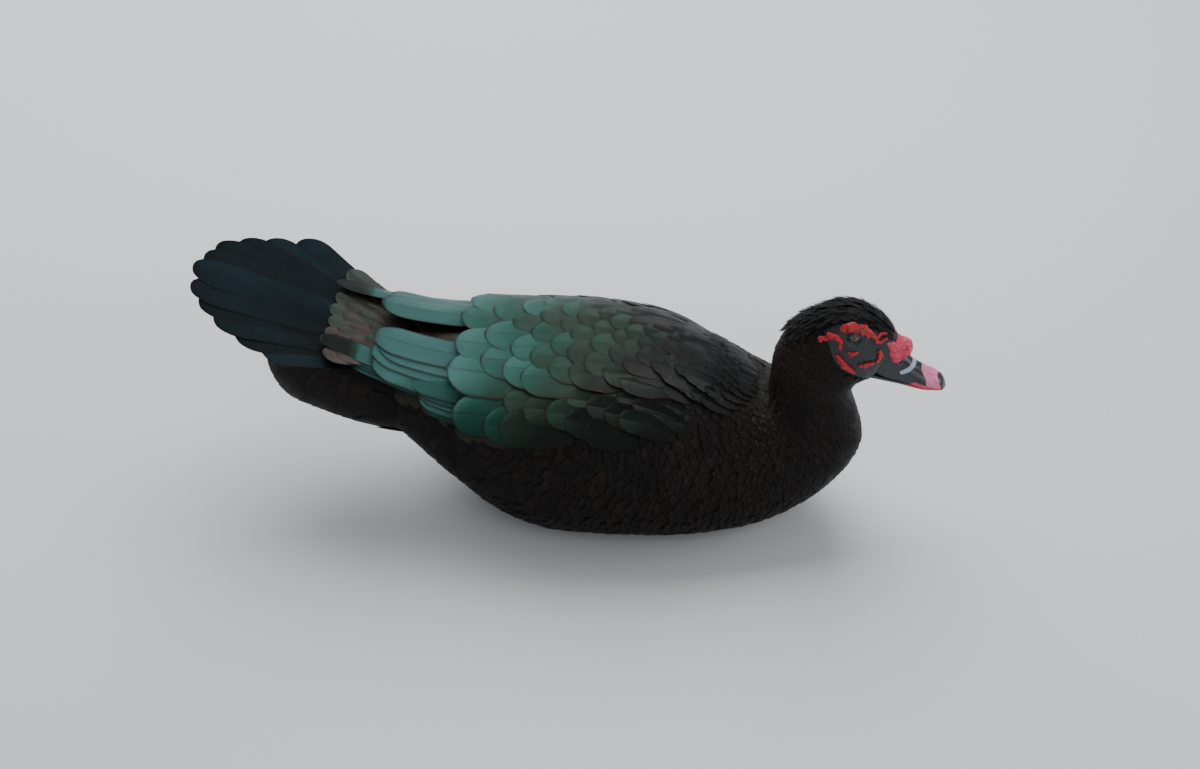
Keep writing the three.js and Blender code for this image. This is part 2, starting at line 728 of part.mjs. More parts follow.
const upperBill = ladderSolid(UPPER_BILL, 10, 16);
const lowerBill = ladderSolid(LOWER_BILL, 8, 12);
const knobBall = (grow) => ball(KNOB, new THREE.Vector3(1, 0.95, 1).multiplyScalar(KNOB_RADIUS + grow), 12);
const nailRegion = (grow) => ball(new THREE.Vector3(334, 0, 169), new THREE.Vector3(12 + grow, 9 + grow, 12 + grow), 12);
const billGrown = unionOf([
  ladderSolid(UPPER_BILL, 10, 16, GAP),
  ladderSolid(LOWER_BILL, 8, 12, GAP),
  knobBall(GAP),
]);
const nostril = ball(new THREE.Vector3(289, 13.2, 196.2), new THREE.Vector3(4.6, 3, 1.9), 8);
const nostrils = nostril.add(mirrored(nostril));
const beforeFace = (solid) => above(solid, billPlane);
add("bill_knob", beforeFace(knobBall(0)), MATERIALS.knob);
add("bill_upper", beforeFace(upperBill).subtract(knobBall(GAP)).subtract(nailRegion(GAP)).subtract(nostrils), MATERIALS.bill);
add("bill_nail", upperBill.intersect(nailRegion(0)), MATERIALS.nail);
add("bill_lower", beforeFace(lowerBill), MATERIALS.pink);

const redBulbs = caruncles().subtract(fleshGrown).subtract(lidsGrown).subtract(eye(GAP + 0.2)).subtract(billGrown);
bothSides("caruncles", redBulbs, MATERIALS.caruncle);
bothSides("wing", wing(), MATERIALS.sheen);
bothSides("scapulars", scapulars(), MATERIALS.sheen);
add("tail", tail(), MATERIALS.tail);
add("tail_coverts_upper", upperCoverts(), MATERIALS.tail);
add("tail_coverts_under", underCoverts(), MATERIALS.tail);

export default group;
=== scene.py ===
"""A life-size muscovy drake, dressed as it sits on water: skin, feathers, face, bill, eyes and feet.

Lengths are in metres. +X runs to the bill, +Y to the duck's left and +Z up, as in the solid model.
"""

import logging
import math
from collections.abc import Callable, Sequence
from dataclasses import dataclass
from enum import Enum

import bmesh
import bpy
import numpy as np
from mathutils import Matrix, Vector


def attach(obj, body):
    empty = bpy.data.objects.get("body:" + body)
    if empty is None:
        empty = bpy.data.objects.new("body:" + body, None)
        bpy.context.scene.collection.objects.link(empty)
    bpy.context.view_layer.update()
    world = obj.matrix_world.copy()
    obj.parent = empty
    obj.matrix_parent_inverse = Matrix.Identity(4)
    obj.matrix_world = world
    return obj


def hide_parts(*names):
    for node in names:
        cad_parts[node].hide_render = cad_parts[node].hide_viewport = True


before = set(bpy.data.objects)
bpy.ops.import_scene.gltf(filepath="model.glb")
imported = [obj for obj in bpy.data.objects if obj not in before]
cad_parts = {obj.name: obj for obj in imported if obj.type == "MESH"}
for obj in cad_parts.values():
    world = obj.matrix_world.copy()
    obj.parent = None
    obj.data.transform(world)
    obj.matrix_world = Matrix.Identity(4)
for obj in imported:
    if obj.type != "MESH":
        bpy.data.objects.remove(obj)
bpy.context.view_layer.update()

log = logging.getLogger("muscovy_drake")
MM = 0.001
# Points nearer than this are one.
SEAM = 0.01 * MM
BARBS_PER_METRE = 9500.0
# How finely a scattered row is measured, and how close the rows are next to the gap in a row.
PROBES = 48
ROW_PITCH = 0.8
Array = np.ndarray
Colour = tuple[float, float, float]
Pair = tuple[float, float]
Place = tuple[float, float, float]
Material = bpy.types.Material
Piece = bpy.types.Object
Socket = bpy.types.NodeSocket
Work = bmesh.types.BMesh


def smooth(value: Array | float, low: float, high: float) -> Array | float:
    """Eases from 0 at low to 1 at high, where low may be the greater."""
    share = np.clip((value - low) / (high - low), 0.0, 1.0)
    return share * share * (3.0 - 2.0 * share)


def mix(start: Array | float, end: Array | float, share: Array | float) -> Array | float:
    """Goes in a straight line from start to end."""
    return start + (end - start) * share


# Charts: surfaces that feathers are laid on.


class Chart:
    """A surface with two coordinates. Feathers point where the first one falls."""

    def place(self, a: Array, b: Array, height: Array) -> Array:
        """Gives points on or over the surface.

        Args:
            a: First coordinate, which runs forwards.
            b: Second coordinate, which runs round to the left.
            height: Distance over the surface.

        Returns:
            Points, with a last axis of three.
        """
        raise NotImplementedError

    def steps(self, a: Array, b: Array) -> tuple[Array, Array]:
        """Gives the metres that one unit of each coordinate covers there."""
        return np.ones_like(a), np.ones_like(b)

    def unwrap(self, a: Array, b: Array) -> Array:
        """Gives a place in the unit square for each place on the surface."""
        raise NotImplementedError


class Ladder(Chart):
    """A body of rungs from an upper line to a lower line in side view, with rounded sections.

    Below the resting height, the surface flattens out over the ground.
    """

    REST = 3 * MM
    PROBE = 0.15
    SMALL_STEP = 0.01
    LEAST_STEP = 2 * MM

    def __init__(self, rungs: Sequence[Sequence[float]]) -> None:
        """Keeps the rungs.

        Args:
            rungs: Upper x and z, lower x and z, half width, height share of the widest point, squareness.
        """
        self.table = np.array(rungs, dtype=float)
        self.table[:, :5] *= MM

    @property
    def last(self) -> float:
        """The index of the last rung."""
        return len(self.table) - 1.0

    def read(self, at: Array) -> Array:
        """Reads the rungs along a smooth curve at an index that need not be whole.

        Args:
            at: Rung indices.

        Returns:
            The rungs' measures there, on a last axis of seven.
        """
        rows = self.table
        at = np.clip(at, 0.0, self.last)
        first = np.minimum(at.astype(int), len(rows) - 2)
        share = (at - first)[..., None]
        padded = np.vstack([2 * rows[0] - rows[1], rows, 2 * rows[-1] - rows[-2]])
        before, start, end, after = (padded[first + k] for k in range(4))
        leave, arrive = 0.5 * (end - before), 0.5 * (after - start)
        square = -3 * start + 3 * end - 2 * leave - arrive
        cube = 2 * start - 2 * end + leave + arrive
        return start + share * (leave + share * (square + share * cube))

    def place(self, a: Array, b: Array, height: Array) -> Array:
        """Gives points at a rung index, an angle from the upper line to the left, and a height.

        Before the first rung, the surface goes straight on.

        Args:
            a: Rung indices.
            b: Angles.
            height: Distances over the surface.

        Returns:
            Points, with a last axis of three.
        """
        a, b, height = np.broadcast_arrays(a, b, height)
        if not np.any(a < 0):
            return self.section(a, b, height)
        edge = self.section(np.maximum(a, 0.0), b, height)
        inner = self.section(np.maximum(a, 0.0) + self.PROBE, b, height)
        return edge + (edge - inner) * (np.maximum(-a, 0.0) / self.PROBE)[..., None]

    def section(self, a: Array, b: Array, height: Array) -> Array:
        """Gives points on the sections between the first and the last rung.

        Args:
            a: Rung indices.
            b: Angles.
            height: Distances over the surface.

        Returns:
            Points, with a last axis of three.
        """
        upper_x, upper_z, lower_x, lower_z, half, widest, square = np.moveaxis(self.read(a), -1, 0)
        length = np.hypot(upper_x - lower_x, upper_z - lower_z)
        rung_x, rung_z = (upper_x - lower_x) / length, (upper_z - lower_z) / length
        c, s = np.cos(b), np.sin(b)
        rise = np.abs(c) ** (2 / square)
        share = np.where(c >= 0, widest + (1 - widest) * rise, widest * (1 - rise))
        reach = share * (length + 2 * height) - height
        y = (half + height) * np.sign(s) * np.abs(s) ** (2 / square)
        z = lower_z + rung_z * reach
        resting = self.REST * np.exp(np.minimum(z - self.REST, 0.0) / self.REST)
        return np.stack([lower_x + rung_x * reach, y, np.maximum(z, resting)], axis=-1)

    def steps(self, a: Array, b: Array) -> tuple[Array, Array]:
        """Measures the surface by small moves along each coordinate.

        Args:
            a: Rung indices.
            b: Angles.

        Returns:
            Metres to an index, and metres to a radian.
        """
        d = self.SMALL_STEP
        moves = (
            self.place(a + d, b, 0.0) - self.place(a - d, b, 0.0),
            self.place(a, b + d, 0.0) - self.place(a, b - d, 0.0),
        )
        along, around = (np.linalg.norm(move, axis=-1) / (2 * d) for move in moves)
        return np.maximum(along, self.LEAST_STEP), np.maximum(around, self.LEAST_STEP)

    def find(self, x: Array, z: Array, lowest: float) -> tuple[Array, Array]:
        """Finds the index and the left side's angle of places in side view.

        Args:
            x: Places along the body.
            z: Their heights.
            lowest: The rung index to search from.

        Returns:
            The rung indices and the angles from the upper line.
        """
        x, z = np.atleast_1d(x).astype(float), np.atleast_1d(z).astype(float)
        low, high = np.full(x.shape, lowest), np.full(x.shape, self.last)
        for _ in range(40):
            middle = 0.5 * (low + high)
            upper_x, upper_z, lower_x, lower_z = np.moveaxis(self.read(middle), -1, 0)[:4]
            cross = (upper_x - lower_x) * (z - lower_z) - (upper_z - lower_z) * (x - lower_x)
            low, high = np.where(cross < 0, middle, low), np.where(cross < 0, high, middle)
        upper_x, upper_z, lower_x, lower_z, _, widest, square = np.moveaxis(self.read(low), -1, 0)
        over_x, over_z = upper_x - lower_x, upper_z - lower_z
        share = ((x - lower_x) * over_x + (z - lower_z) * over_z) / (over_x**2 + over_z**2)
        above = share >= widest
        reach = np.where(above, (share - widest) / (1 - widest), (widest - share) / widest)
        c = np.clip(reach, 0.0, 0.999) ** (square / 2)
        angle = np.arccos(c)
        return low, np.where(above, angle, math.pi - angle)

    def unwrap(self, a: Array, b: Array) -> Array:
        """Lays the rungs side by side.

        Args:
            a: Rung indices.
            b: Angles.

        Returns:
            Places in the unit square.
        """
        return np.stack([0.02 + 0.95 * a / self.last, 0.02 + 0.95 * np.mod(b / (2 * math.pi), 1.0)], axis=-1)


class Mantle(Chart):
    """The surface over the back that the folded wings and the back feathers follow.

    The coordinates are x, and the distance from the midline along the section, positive on the left.
    """

    STEPS = 64
    REACH = 0.2

    def __init__(self, stations: Sequence[Sequence[float]], squareness: float) -> None:
        """Works out the sections.

        Args:
            stations: x, top z, half width and z of the widest point, from front to rear.
            squareness: How square the sections are.
        """
        ladder = Ladder([[*station, 0.0, 0.0, 0.0] for station in stations])
        read = ladder.read(np.linspace(0.0, ladder.last, 400))[:, :4]
        self.front, self.rear = read[0, 0], read[-1, 0]
        self.xs = np.linspace(self.rear, self.front, 260)
        order = np.argsort(read[:, 0])
        top, half, side = (np.interp(self.xs, read[order, 0], read[order, k]) for k in (1, 2, 3))
        angle = np.linspace(0.0, math.pi / 2, self.STEPS + 1)
        power = 2 / squareness
        y = half[:, None] * np.sin(angle) ** power
        z = side[:, None] + (top - side)[:, None] * np.abs(np.cos(angle)) ** power
        chords = np.cumsum(np.hypot(np.diff(y), np.diff(z)), axis=1)
        lengths = np.concatenate([np.zeros((len(self.xs), 1)), chords], axis=1)
        self.arcs = np.linspace(0.0, self.REACH, 120)
        grid = np.zeros((len(self.xs), len(self.arcs), 2))
        for row in range(len(self.xs)):
            past = np.maximum(0.0, self.arcs - lengths[row, -1])
            grid[row, :, 0] = np.interp(self.arcs, lengths[row], y[row])
            grid[row, :, 1] = np.interp(self.arcs, lengths[row], z[row]) - past
        slope = np.gradient(grid, self.arcs[1], axis=1)
        size = np.maximum(np.linalg.norm(slope, axis=-1, keepdims=True), 1e-9)
        normal = np.stack([-slope[..., 1], slope[..., 0]], axis=-1) / size
        self.grid = np.concatenate([grid, normal], axis=-1)

    def place(self, a: Array, b: Array, height: Array) -> Array:
        """Gives points at an x, a signed distance from the midline and a height.

        Args:
            a: Places along x.
            b: Distances from the midline.
            height: Distances over the surface.

        Returns:
            Points, with a last axis of three.
        """
        a, b, height = np.broadcast_arrays(a, b, height)
        across = np.clip((a - self.rear) / (self.front - self.rear), 0.0, 1.0) * (len(self.xs) - 1.001)
        along = np.clip(np.abs(b) / self.REACH, 0.0, 1.0) * (len(self.arcs) - 1.001)
        i, j = across.astype(int), along.astype(int)
        u, v = (across - i)[..., None], (along - j)[..., None]
        near = mix(self.grid[i, j], self.grid[i + 1, j], u)
        far = mix(self.grid[i, j + 1], self.grid[i + 1, j + 1], u)
        y, z, out, up = np.moveaxis(mix(near, far, v), -1, 0)
        return np.stack([a, np.sign(b) * (y + height * out), z + height * up], axis=-1)

    def nearest(self, points: Array) -> tuple[Array, Array]:
        """Gives the distance from the midline of the nearest place in the section, and the height over it.

        Args:
            points: Places in rows of three.

        Returns:
            The distances from the midline, and the heights over the surface.
        """
        across = np.clip((points[:, 0] - self.rear) / (self.front - self.rear), 0.0, 1.0) * (len(self.xs) - 1)
        rows = self.grid[across.astype(int)]
        off = np.stack([np.abs(points[:, 1]), points[:, 2]], axis=-1)[:, None, :] - rows[:, :, :2]
        best = np.argmin(np.linalg.norm(off, axis=-1), axis=1)
        picked = np.arange(len(points)), best
        return self.arcs[best], np.sum(off[picked] * rows[picked][:, 2:], axis=-1)

    def unwrap(self, a: Array, b: Array) -> Array:
        """Spreads the mantle flat."""
        share = (a - self.rear) / (self.front - self.rear)
        return np.stack([0.02 + 0.95 * share, 0.5 + 0.47 * b / self.REACH], axis=-1)


@dataclass(frozen=True)
class TailFan(Chart):
    """The plane of the raised tail.

    The coordinates are minus the distance back, and the distance to the left.
    """

    root: Pair = (-165.3 * MM, 156 * MM)
    tilt: float = math.radians(18.5)
    cup: float = 0.8

    def place(self, a: Array, b: Array, height: Array) -> Array:
        """Gives points on the slightly cupped fan.

        Args:
            a: Minus the distances back.
            b: Distances to the left.
            height: Distances over the fan.

        Returns:
            Points, with a last axis of three.
        """
        a, b, height = np.broadcast_arrays(a, b, height)
        rise = height + self.cup * b * b
        x = self.root[0] + a * math.cos(self.tilt) + rise * math.sin(self.tilt)
        z = self.root[1] - a * math.sin(self.tilt) + rise * math.cos(self.tilt)
        return np.stack([x, b, z], axis=-1)

    def unwrap(self, a: Array, b: Array) -> Array:
        """Spreads the fan flat."""
        return np.stack([0.97 + 3.6 * a, 0.5 + 4.0 * b], axis=-1)


# Feathers: closed thin vanes, many to a mesh.


@dataclass(frozen=True)
class Vane:
    """The outline and relief of one kind of feather, as shares of its length or width."""

    along: int = 5
    across: int = 2
    root_width: float = 0.45
    tip_round: float = 0.55
    tip_width: float = 0.34
    arch: float = 0.05
    curl: float = 0.0
    shaft: float = 0.0
    sag: float = 0.0

    def stations(self) -> Array:
        """Places of the cross rows along the length, closer together near the tip."""
        share = np.linspace(0.0, 1.0, self.along + 1)
        return 1.0 - (1.0 - share) ** 1.35

    def widths(self, share: Array, slimness: Array) -> Array:
        """Gives the half width, as a share of the greatest, for each feather and station.

        Args:
            share: Places along the length, in a row.
            slimness: Half width over length, one for each feather.

        Returns:
            Shares in a row for each feather.
        """
        start = 1.0 - np.clip(slimness[:, None] * 2 * self.tip_round, 0.15, 0.75)
        past = np.clip((share[None, :] - start) / (1.0 - start), 0.0, 1.0)
        grown = self.root_width + (1.0 - self.root_width) * smooth(share[None, :], 0.0, 0.42)
        return grown * np.sqrt(1.0 - (1.0 - self.tip_width**2) * past**2)


@dataclass
class Roots:
    """Where the feathers of a group start on a chart, and the size of each."""

    a: Array
    b: Array
    length: Array
    half_width: Array
    heading: Array
    base: Array
    lift: Array

    @staticmethod
    def join(groups: Sequence["Roots"]) -> "Roots":
        """Joins several groups into one."""
        names = ("a", "b", "length", "half_width", "heading", "base", "lift")
        return Roots(**{name: np.concatenate([getattr(group, name) for group in groups]) for name in names})

    def kept(self, mask: Array) -> "Roots":
        """Gives only the feathers where mask is true."""
        names = ("a", "b", "length", "half_width", "heading", "base", "lift")
        return Roots(**{name: getattr(self, name)[mask] for name in names})


class Plumage:
    """Collects vanes and makes one mesh of them."""

    PATCH = 0.003

    def __init__(self, name: str, seed: int) -> None:
        """Names the piece and seeds its random draws.

        Args:
            name: The piece's name.
            seed: The seed of its draws.
        """
        self.name = name
        self.random = np.random.default_rng(seed)
        self.parts: list[dict[str, Array]] = []
        self.count = 0

    def lay(self, chart: Chart, roots: Roots, vane: Vane) -> None:
        """Lays feathers on a chart.

        Args:
            chart: The surface that they lie on.
            roots: Their places and sizes.
            vane: Their outline.
        """
        number = len(roots.a)
        if number == 0:
            return
        share = vane.stations()
        side = np.linspace(-1.0, 1.0, vane.across + 1)
        width = vane.widths(share, roots.half_width / roots.length) * roots.half_width[:, None]
        along = roots.length[:, None, None] * share[None, :, None] * np.ones_like(side)
        out = width[:, :, None] * side[None, None, :]
        round_tip = roots.half_width[:, None, None] * 0.12 * (1 - side**2)[None, None, :]
        along = along + round_tip * smooth(share, 0.6, 1.0)[None, :, None]
        rise = roots.base[:, None] + roots.lift[:, None] * share[None, :] ** 0.9
        rise = rise + vane.curl * roots.length[:, None] * share[None, :] ** 3
        arch = vane.arch * roots.half_width[:, None, None] * (1 - side**2)[None, None, :]
        arch = arch * (0.35 + 0.65 * np.sin(math.pi * np.clip(share * 0.92 + 0.04, 0, 1)))[None, :, None]
        ridge = vane.shaft * np.exp(-((side / 0.07) ** 2))[None, None, :] * (1 - share)[None, :, None]
        height = rise[:, :, None] + arch + ridge - vane.sag * roots.half_width[:, None, None] * side**2
        c, s = np.cos(roots.heading)[:, None, None], np.sin(roots.heading)[:, None, None]
        step_a, step_b = chart.steps(roots.a, roots.b)
        a = roots.a[:, None, None] - (along * c - out * s) / step_a[:, None, None]
        b = roots.b[:, None, None] + (along * s + out * c) / step_b[:, None, None]
        points = chart.place(a, b, height)
        rooted = chart.unwrap(roots.a, roots.b)
        grid = np.stack(np.broadcast_arrays(side[None, :] * 0.5 + 0.5, share[:, None]), axis=-1)
        faces, sizes = self.pattern(vane)
        tone = self.random.random(number)
        per_vane = (vane.along + 1) * (vane.across + 1)
        self.parts.append(
            {
                "points": points.reshape(-1, 3),
                "vane": np.tile(grid.reshape(-1, 2), (number, 1)),
                "bake": (rooted[:, None, :] + (grid.reshape(-1, 2)[None] - 0.5) * self.PATCH).reshape(-1, 2),
                "tone": np.repeat(tone, per_vane),
                "size": np.repeat(roots.length, per_vane),
                "loops": (np.arange(number)[:, None] * per_vane + faces[None, :] + self.count).reshape(-1),
                "sizes": np.tile(sizes, number),
            }
        )
        self.count += number * per_vane

    @staticmethod
    def pattern(vane: Vane) -> tuple[Array, Array]:
        """Gives one vane's faces: its arched top, its flat underside, and its two ends.

        Args:
            vane: The kind of feather.

        Returns:
            The corners of all faces in turn, and the number of corners of each.
        """
        n, m = vane.along, vane.across
        row = m + 1
        corners = [i * row + j for i in range(n) for j in range(m)]
        top = [[k, k + 1, k + row + 1, k + row] for k in corners]
        under = [[i * row, (i + 1) * row, (i + 1) * row + m, i * row + m] for i in range(n)]
        ends = [list(range(m, -1, -1)), [n * row + j for j in range(m + 1)]]
        faces = top + under + ends
        return np.array([v for face in faces for v in face]), np.array([len(face) for face in faces])

    def build(self, flip: bool = False) -> Piece:
        """Makes the mesh object.

        Args:
            flip: Mirrors it to the duck's right.

        Returns:
            The finished piece, with its maps and attributes.
        """
        gathered = {key: np.concatenate([part[key] for part in self.parts]) for key in self.parts[0]}
        points, loops, sizes = gathered["points"].copy(), gathered["loops"], gathered["sizes"]
        mesh = bpy.data.meshes.new(self.name)
        if flip:
            points[:, 1] *= -1
        mesh.vertices.add(len(points))
        mesh.vertices.foreach_set("co", points.astype(np.float32).ravel())
        mesh.loops.add(len(loops))
        mesh.loops.foreach_set("vertex_index", loops.astype(np.int32))
        mesh.polygons.add(len(sizes))
        starts = np.concatenate([[0], np.cumsum(sizes)[:-1]])
        mesh.polygons.foreach_set("loop_start", starts.astype(np.int32))
        mesh.update(calc_edges=True)
        for key, title in (("vane", "Vane"), ("bake", "OFBake")):
            layer = mesh.uv_layers.new(name=title)
            layer.data.foreach_set("uv", gathered[key][loops].astype(np.float32).ravel())
        for key in ("tone", "size"):
            keep_number(mesh, key, gathered[key])
        if not outward(mesh):
            mesh.flip_normals()
        mesh.polygons.foreach_set("use_smooth", np.ones(len(sizes), dtype=bool))
        mesh.set_sharp_from_angle(angle=math.radians(50))
        made = bpy.data.objects.new(self.name, mesh)
        bpy.context.collection.objects.link(made)
        return made


def keep_number(mesh: bpy.types.Mesh, name: str, values: Array) -> None:
    """Keeps a number on each vertex, for the finishes to read."""
    mesh.attributes.new(name, "FLOAT", "POINT").data.foreach_set("value", values.astype(np.float32))


def outward(mesh: bpy.types.Mesh) -> bool:
    """Tells whether a mesh's closed shells have their faces outwards.

    Args:
        mesh: The mesh to test.

    Returns:
        True where the shells' volume comes out positive.
    """
    mesh.calc_loop_triangles()
    corners = np.empty(len(mesh.loop_triangles) * 3, dtype=np.int32)
    mesh.loop_triangles.foreach_get("vertices", corners)
    points = np.empty(len(mesh.vertices) * 3)
    mesh.vertices.foreach_get("co", points)
    p = points.reshape(-1, 3)[corners.reshape(-1, 3)]
    return bool(np.einsum("ij,ij->", p[:, 0], np.cross(p[:, 1], p[:, 2])) > 0)


def scatter(
    chart: Chart,
    a_range: Pair,
    b_range: Pair,
    spacing: Callable[[Array], Array],
    random: np.random.Generator,
) -> tuple[Array, Array]:
    """Spreads places over a chart in staggered rows, a set distance apart.

    Args:
        chart: The surface.
        a_range: Lowest and highest first coordinate.
        b_range: Lowest and highest second coordinate.
        spacing: Gives the distance between neighbours at a first coordinate.
        random: Draws the small shifts.

    Returns:
        The two coordinates of each place.
    """
    found_a, found_b = [], []
    a, row = a_range[1], 0
    probe = np.linspace(*b_range, PROBES)
    while a > a_range[0]:
        step_a, step_b = chart.steps(np.full(PROBES, a), probe)
        gap = float(spacing(np.array(a)))
        run = np.concatenate([[0.0], np.cumsum(0.5 * (step_b[1:] + step_b[:-1]) * np.diff(probe))])
        count = max(3, int(run[-1] / gap))
        places = np.interp((np.arange(count) + 0.5 * (row % 2) + 0.25) / count * run[-1], run, probe)
        local = np.interp(places, probe, step_a)
        pitch = gap * ROW_PITCH / float(step_a.mean())
        keep = random.random(count) < np.clip(local * pitch / (gap * ROW_PITCH), 0.0, 1.0)
        found_a.append((a + pitch * 0.35 * random.uniform(-1, 1, count))[keep])
        shift = gap * 0.2 * random.uniform(-1, 1, count) / np.interp(places, probe, step_b)
        found_b.append((places + shift)[keep])
        a -= pitch
        row += 1
    return np.concatenate(found_a), np.concatenate(found_b)


# Finishes.


class Board:
    """A material's node tree while it is being wired."""

    def __init__(self, name: str) -> None:
        """Starts a material with its shader.

        Args:
            name: The material's name.
        """
        self.material = bpy.data.materials.new(name)
        self.material.use_nodes = True
        self.tree = self.material.node_tree
        self.shader = self.tree.nodes["Principled BSDF"]
        self.coordinates = self.tree.nodes.new("ShaderNodeTexCoord").outputs["Object"]

    def feed(self, socket: Socket, value: object) -> None:
        """Links a socket, or sets its value."""
        if isinstance(value, Socket):
            self.tree.links.new(value, socket)
        elif isinstance(value, tuple) and len(value) == 3 and socket.type == "RGBA":
            socket.default_value = (*value, 1.0)
        else:
            socket.default_value = value

    def set(self, **values: object) -> None:
        """Feeds the shader's sockets, named with underscores."""
        for name, value in values.items():
            self.feed(self.shader.inputs[name.replace("_", " ")], value)

    def math(self, operation: str, *values: object) -> Socket:
        """Adds a sum, product or other operation.

        Args:
            operation: What to work out.
            values: Sockets or numbers.

        Returns:
            The result's socket.
        """
        node = self.tree.nodes.new("ShaderNodeMath")
        node.operation = operation
        for socket, value in zip(node.inputs, values):
            self.feed(socket, value)
        return node.outputs[0]

    def scaled(
        self, value: object, low: float, high: float, to_low: float = 0.0, to_high: float = 1.0
    ) -> Socket:
        """Maps a range to another, eased at both ends.

        Args:
            value: A socket.
            low: Where the range starts.
            high: Where it ends.
            to_low: The result at its start.
            to_high: The result at its end.

        Returns:
            The result's socket.
        """
        node = self.tree.nodes.new("ShaderNodeMapRange")
        node.interpolation_type = "SMOOTHSTEP"
        for socket, number in zip(node.inputs, (value, low, high, to_low, to_high)):
            self.feed(socket, number)
        return node.outputs[0]

    def noise(self, scale: float, detail: float = 2.0, stretch: Place | None = None) -> Socket:
        """Adds soft noise, stretched where asked.

        Args:
            scale: How fine it is.
            detail: How many finer layers it has.
            stretch: How much finer it is along each axis.

        Returns:
            The noise's socket.
        """
        node = self.tree.nodes.new("ShaderNodeTexNoise")
        node.inputs["Scale"].default_value = scale
        node.inputs["Detail"].default_value = detail
        source = self.coordinates
        if stretch:
            mapping = self.tree.nodes.new("ShaderNodeMapping")
            mapping.inputs["Scale"].default_value = stretch
            self.tree.links.new(source, mapping.inputs["Vector"])
            source = mapping.outputs[0]
        self.tree.links.new(source, node.inputs["Vector"])
        return node.outputs[0]

    def cells(self, scale: float) -> Socket:
        """Adds rounded cells.

        Args:
            scale: How fine they are.

        Returns:
            The distance from each cell's middle.
        """
        node = self.tree.nodes.new("ShaderNodeTexVoronoi")
        node.feature = "SMOOTH_F1"
        node.inputs["Scale"].default_value = scale
        self.tree.links.new(self.coordinates, node.inputs["Vector"])
        return node.outputs["Distance"]

    def ramp(self, value: object, stops: Sequence[tuple[float, Colour]]) -> Socket:
        """Turns a value into a colour by stops.

        Args:
            value: A socket or number.
            stops: Places and their colours.

        Returns:
            The colour's socket.
        """
        node = self.tree.nodes.new("ShaderNodeValToRGB")
        bar = node.color_ramp.elements
        while len(bar) < len(stops):
            bar.new(0.5)
        for element, (place, colour) in zip(bar, stops):
            element.position = place
            element.color = (*colour, 1.0)
        self.feed(node.inputs[0], value)
        return node.outputs[0]

    def blend(self, share: object, first: object, second: object, mode: str = "MIX") -> Socket:
        """Mixes two colours.

        Args:
            share: How much of the second shows.
            first: A colour.
            second: Another colour.
            mode: How they mix.

        Returns:
            The colour's socket.
        """
        node = self.tree.nodes.new("ShaderNodeMix")
        node.data_type = "RGBA"
        node.blend_type = mode
        for socket, value in zip((node.inputs[0], node.inputs[6], node.inputs[7]), (share, first, second)):
            self.feed(socket, value)
        return node.outputs[2]

    def attribute(self, name: str) -> Socket:
        """Reads a number kept on the mesh.

        Args:
            name: Its name on the mesh.

        Returns:
            The number's socket.
        """
        node = self.tree.nodes.new("ShaderNodeAttribute")
        node.attribute_name = name
        return node.outputs["Fac"]

    def parts(self, vector: object) -> Sequence[Socket]:
        """Splits a vector into its three numbers.

        Args:
            vector: The vector's socket.

        Returns:
            The three sockets.
        """
        node = self.tree.nodes.new("ShaderNodeSeparateXYZ")
        self.feed(node.inputs[0], vector)
        return node.outputs

    def vane(self) -> tuple[Socket, Socket, Socket]:
        """Gives the distance from a feather's shaft, 0 to 1, the place along it, and the side, -1 to 1.

        Returns:
            The three sockets, in that order.
        """
        node = self.tree.nodes.new("ShaderNodeUVMap")
        node.uv_map = "Vane"
        across, along, _ = self.parts(node.outputs[0])
        centred = self.math("MULTIPLY_ADD", across, 2.0, -1.0)
        return self.math("ABSOLUTE", centred), along, centred

    def barbs(self, from_shaft: object, along: object) -> Socket:
        """Gives fine slanted lines that run from the shaft to the edge, closer on longer feathers.

        Args:
            from_shaft: Distance from the shaft.
            along: Place along the feather.

        Returns:
            Waves from -1 to 1.
        """
        leaning = self.math("MULTIPLY_ADD", from_shaft, -0.24, along)
        slant = self.math("MULTIPLY", leaning, self.math("MULTIPLY", self.attribute("size"), BARBS_PER_METRE))
        loose = self.math("MULTIPLY_ADD", self.noise(260.0, 2.0), 1.2, slant)
        return self.math("SINE", loose)

    def bump(self, height: object, distance: float, strength: float = 1.0, below: object = None) -> Socket:
        """Turns a height into a normal.

        Args:
            height: The height's socket.
            distance: What a height of 1 stands for.
            strength: How strongly it shows.
            below: A normal that it adds to.

        Returns:
            The normal's socket.
        """
        node = self.tree.nodes.new("ShaderNodeBump")
        node.inputs["Distance"].default_value = distance
        node.inputs["Strength"].default_value = strength
        self.feed(node.inputs["Height"], height)
        if below is not None:
            self.feed(node.inputs["Normal"], below)
        return node.outputs[0]


class Zone(Enum):
    """Where plumage grows, which sets its colour."""

    BODY = "body"
    BACK = "back"
    COVERTS = "coverts"
    TAIL = "tail"
    CREST = "crest"


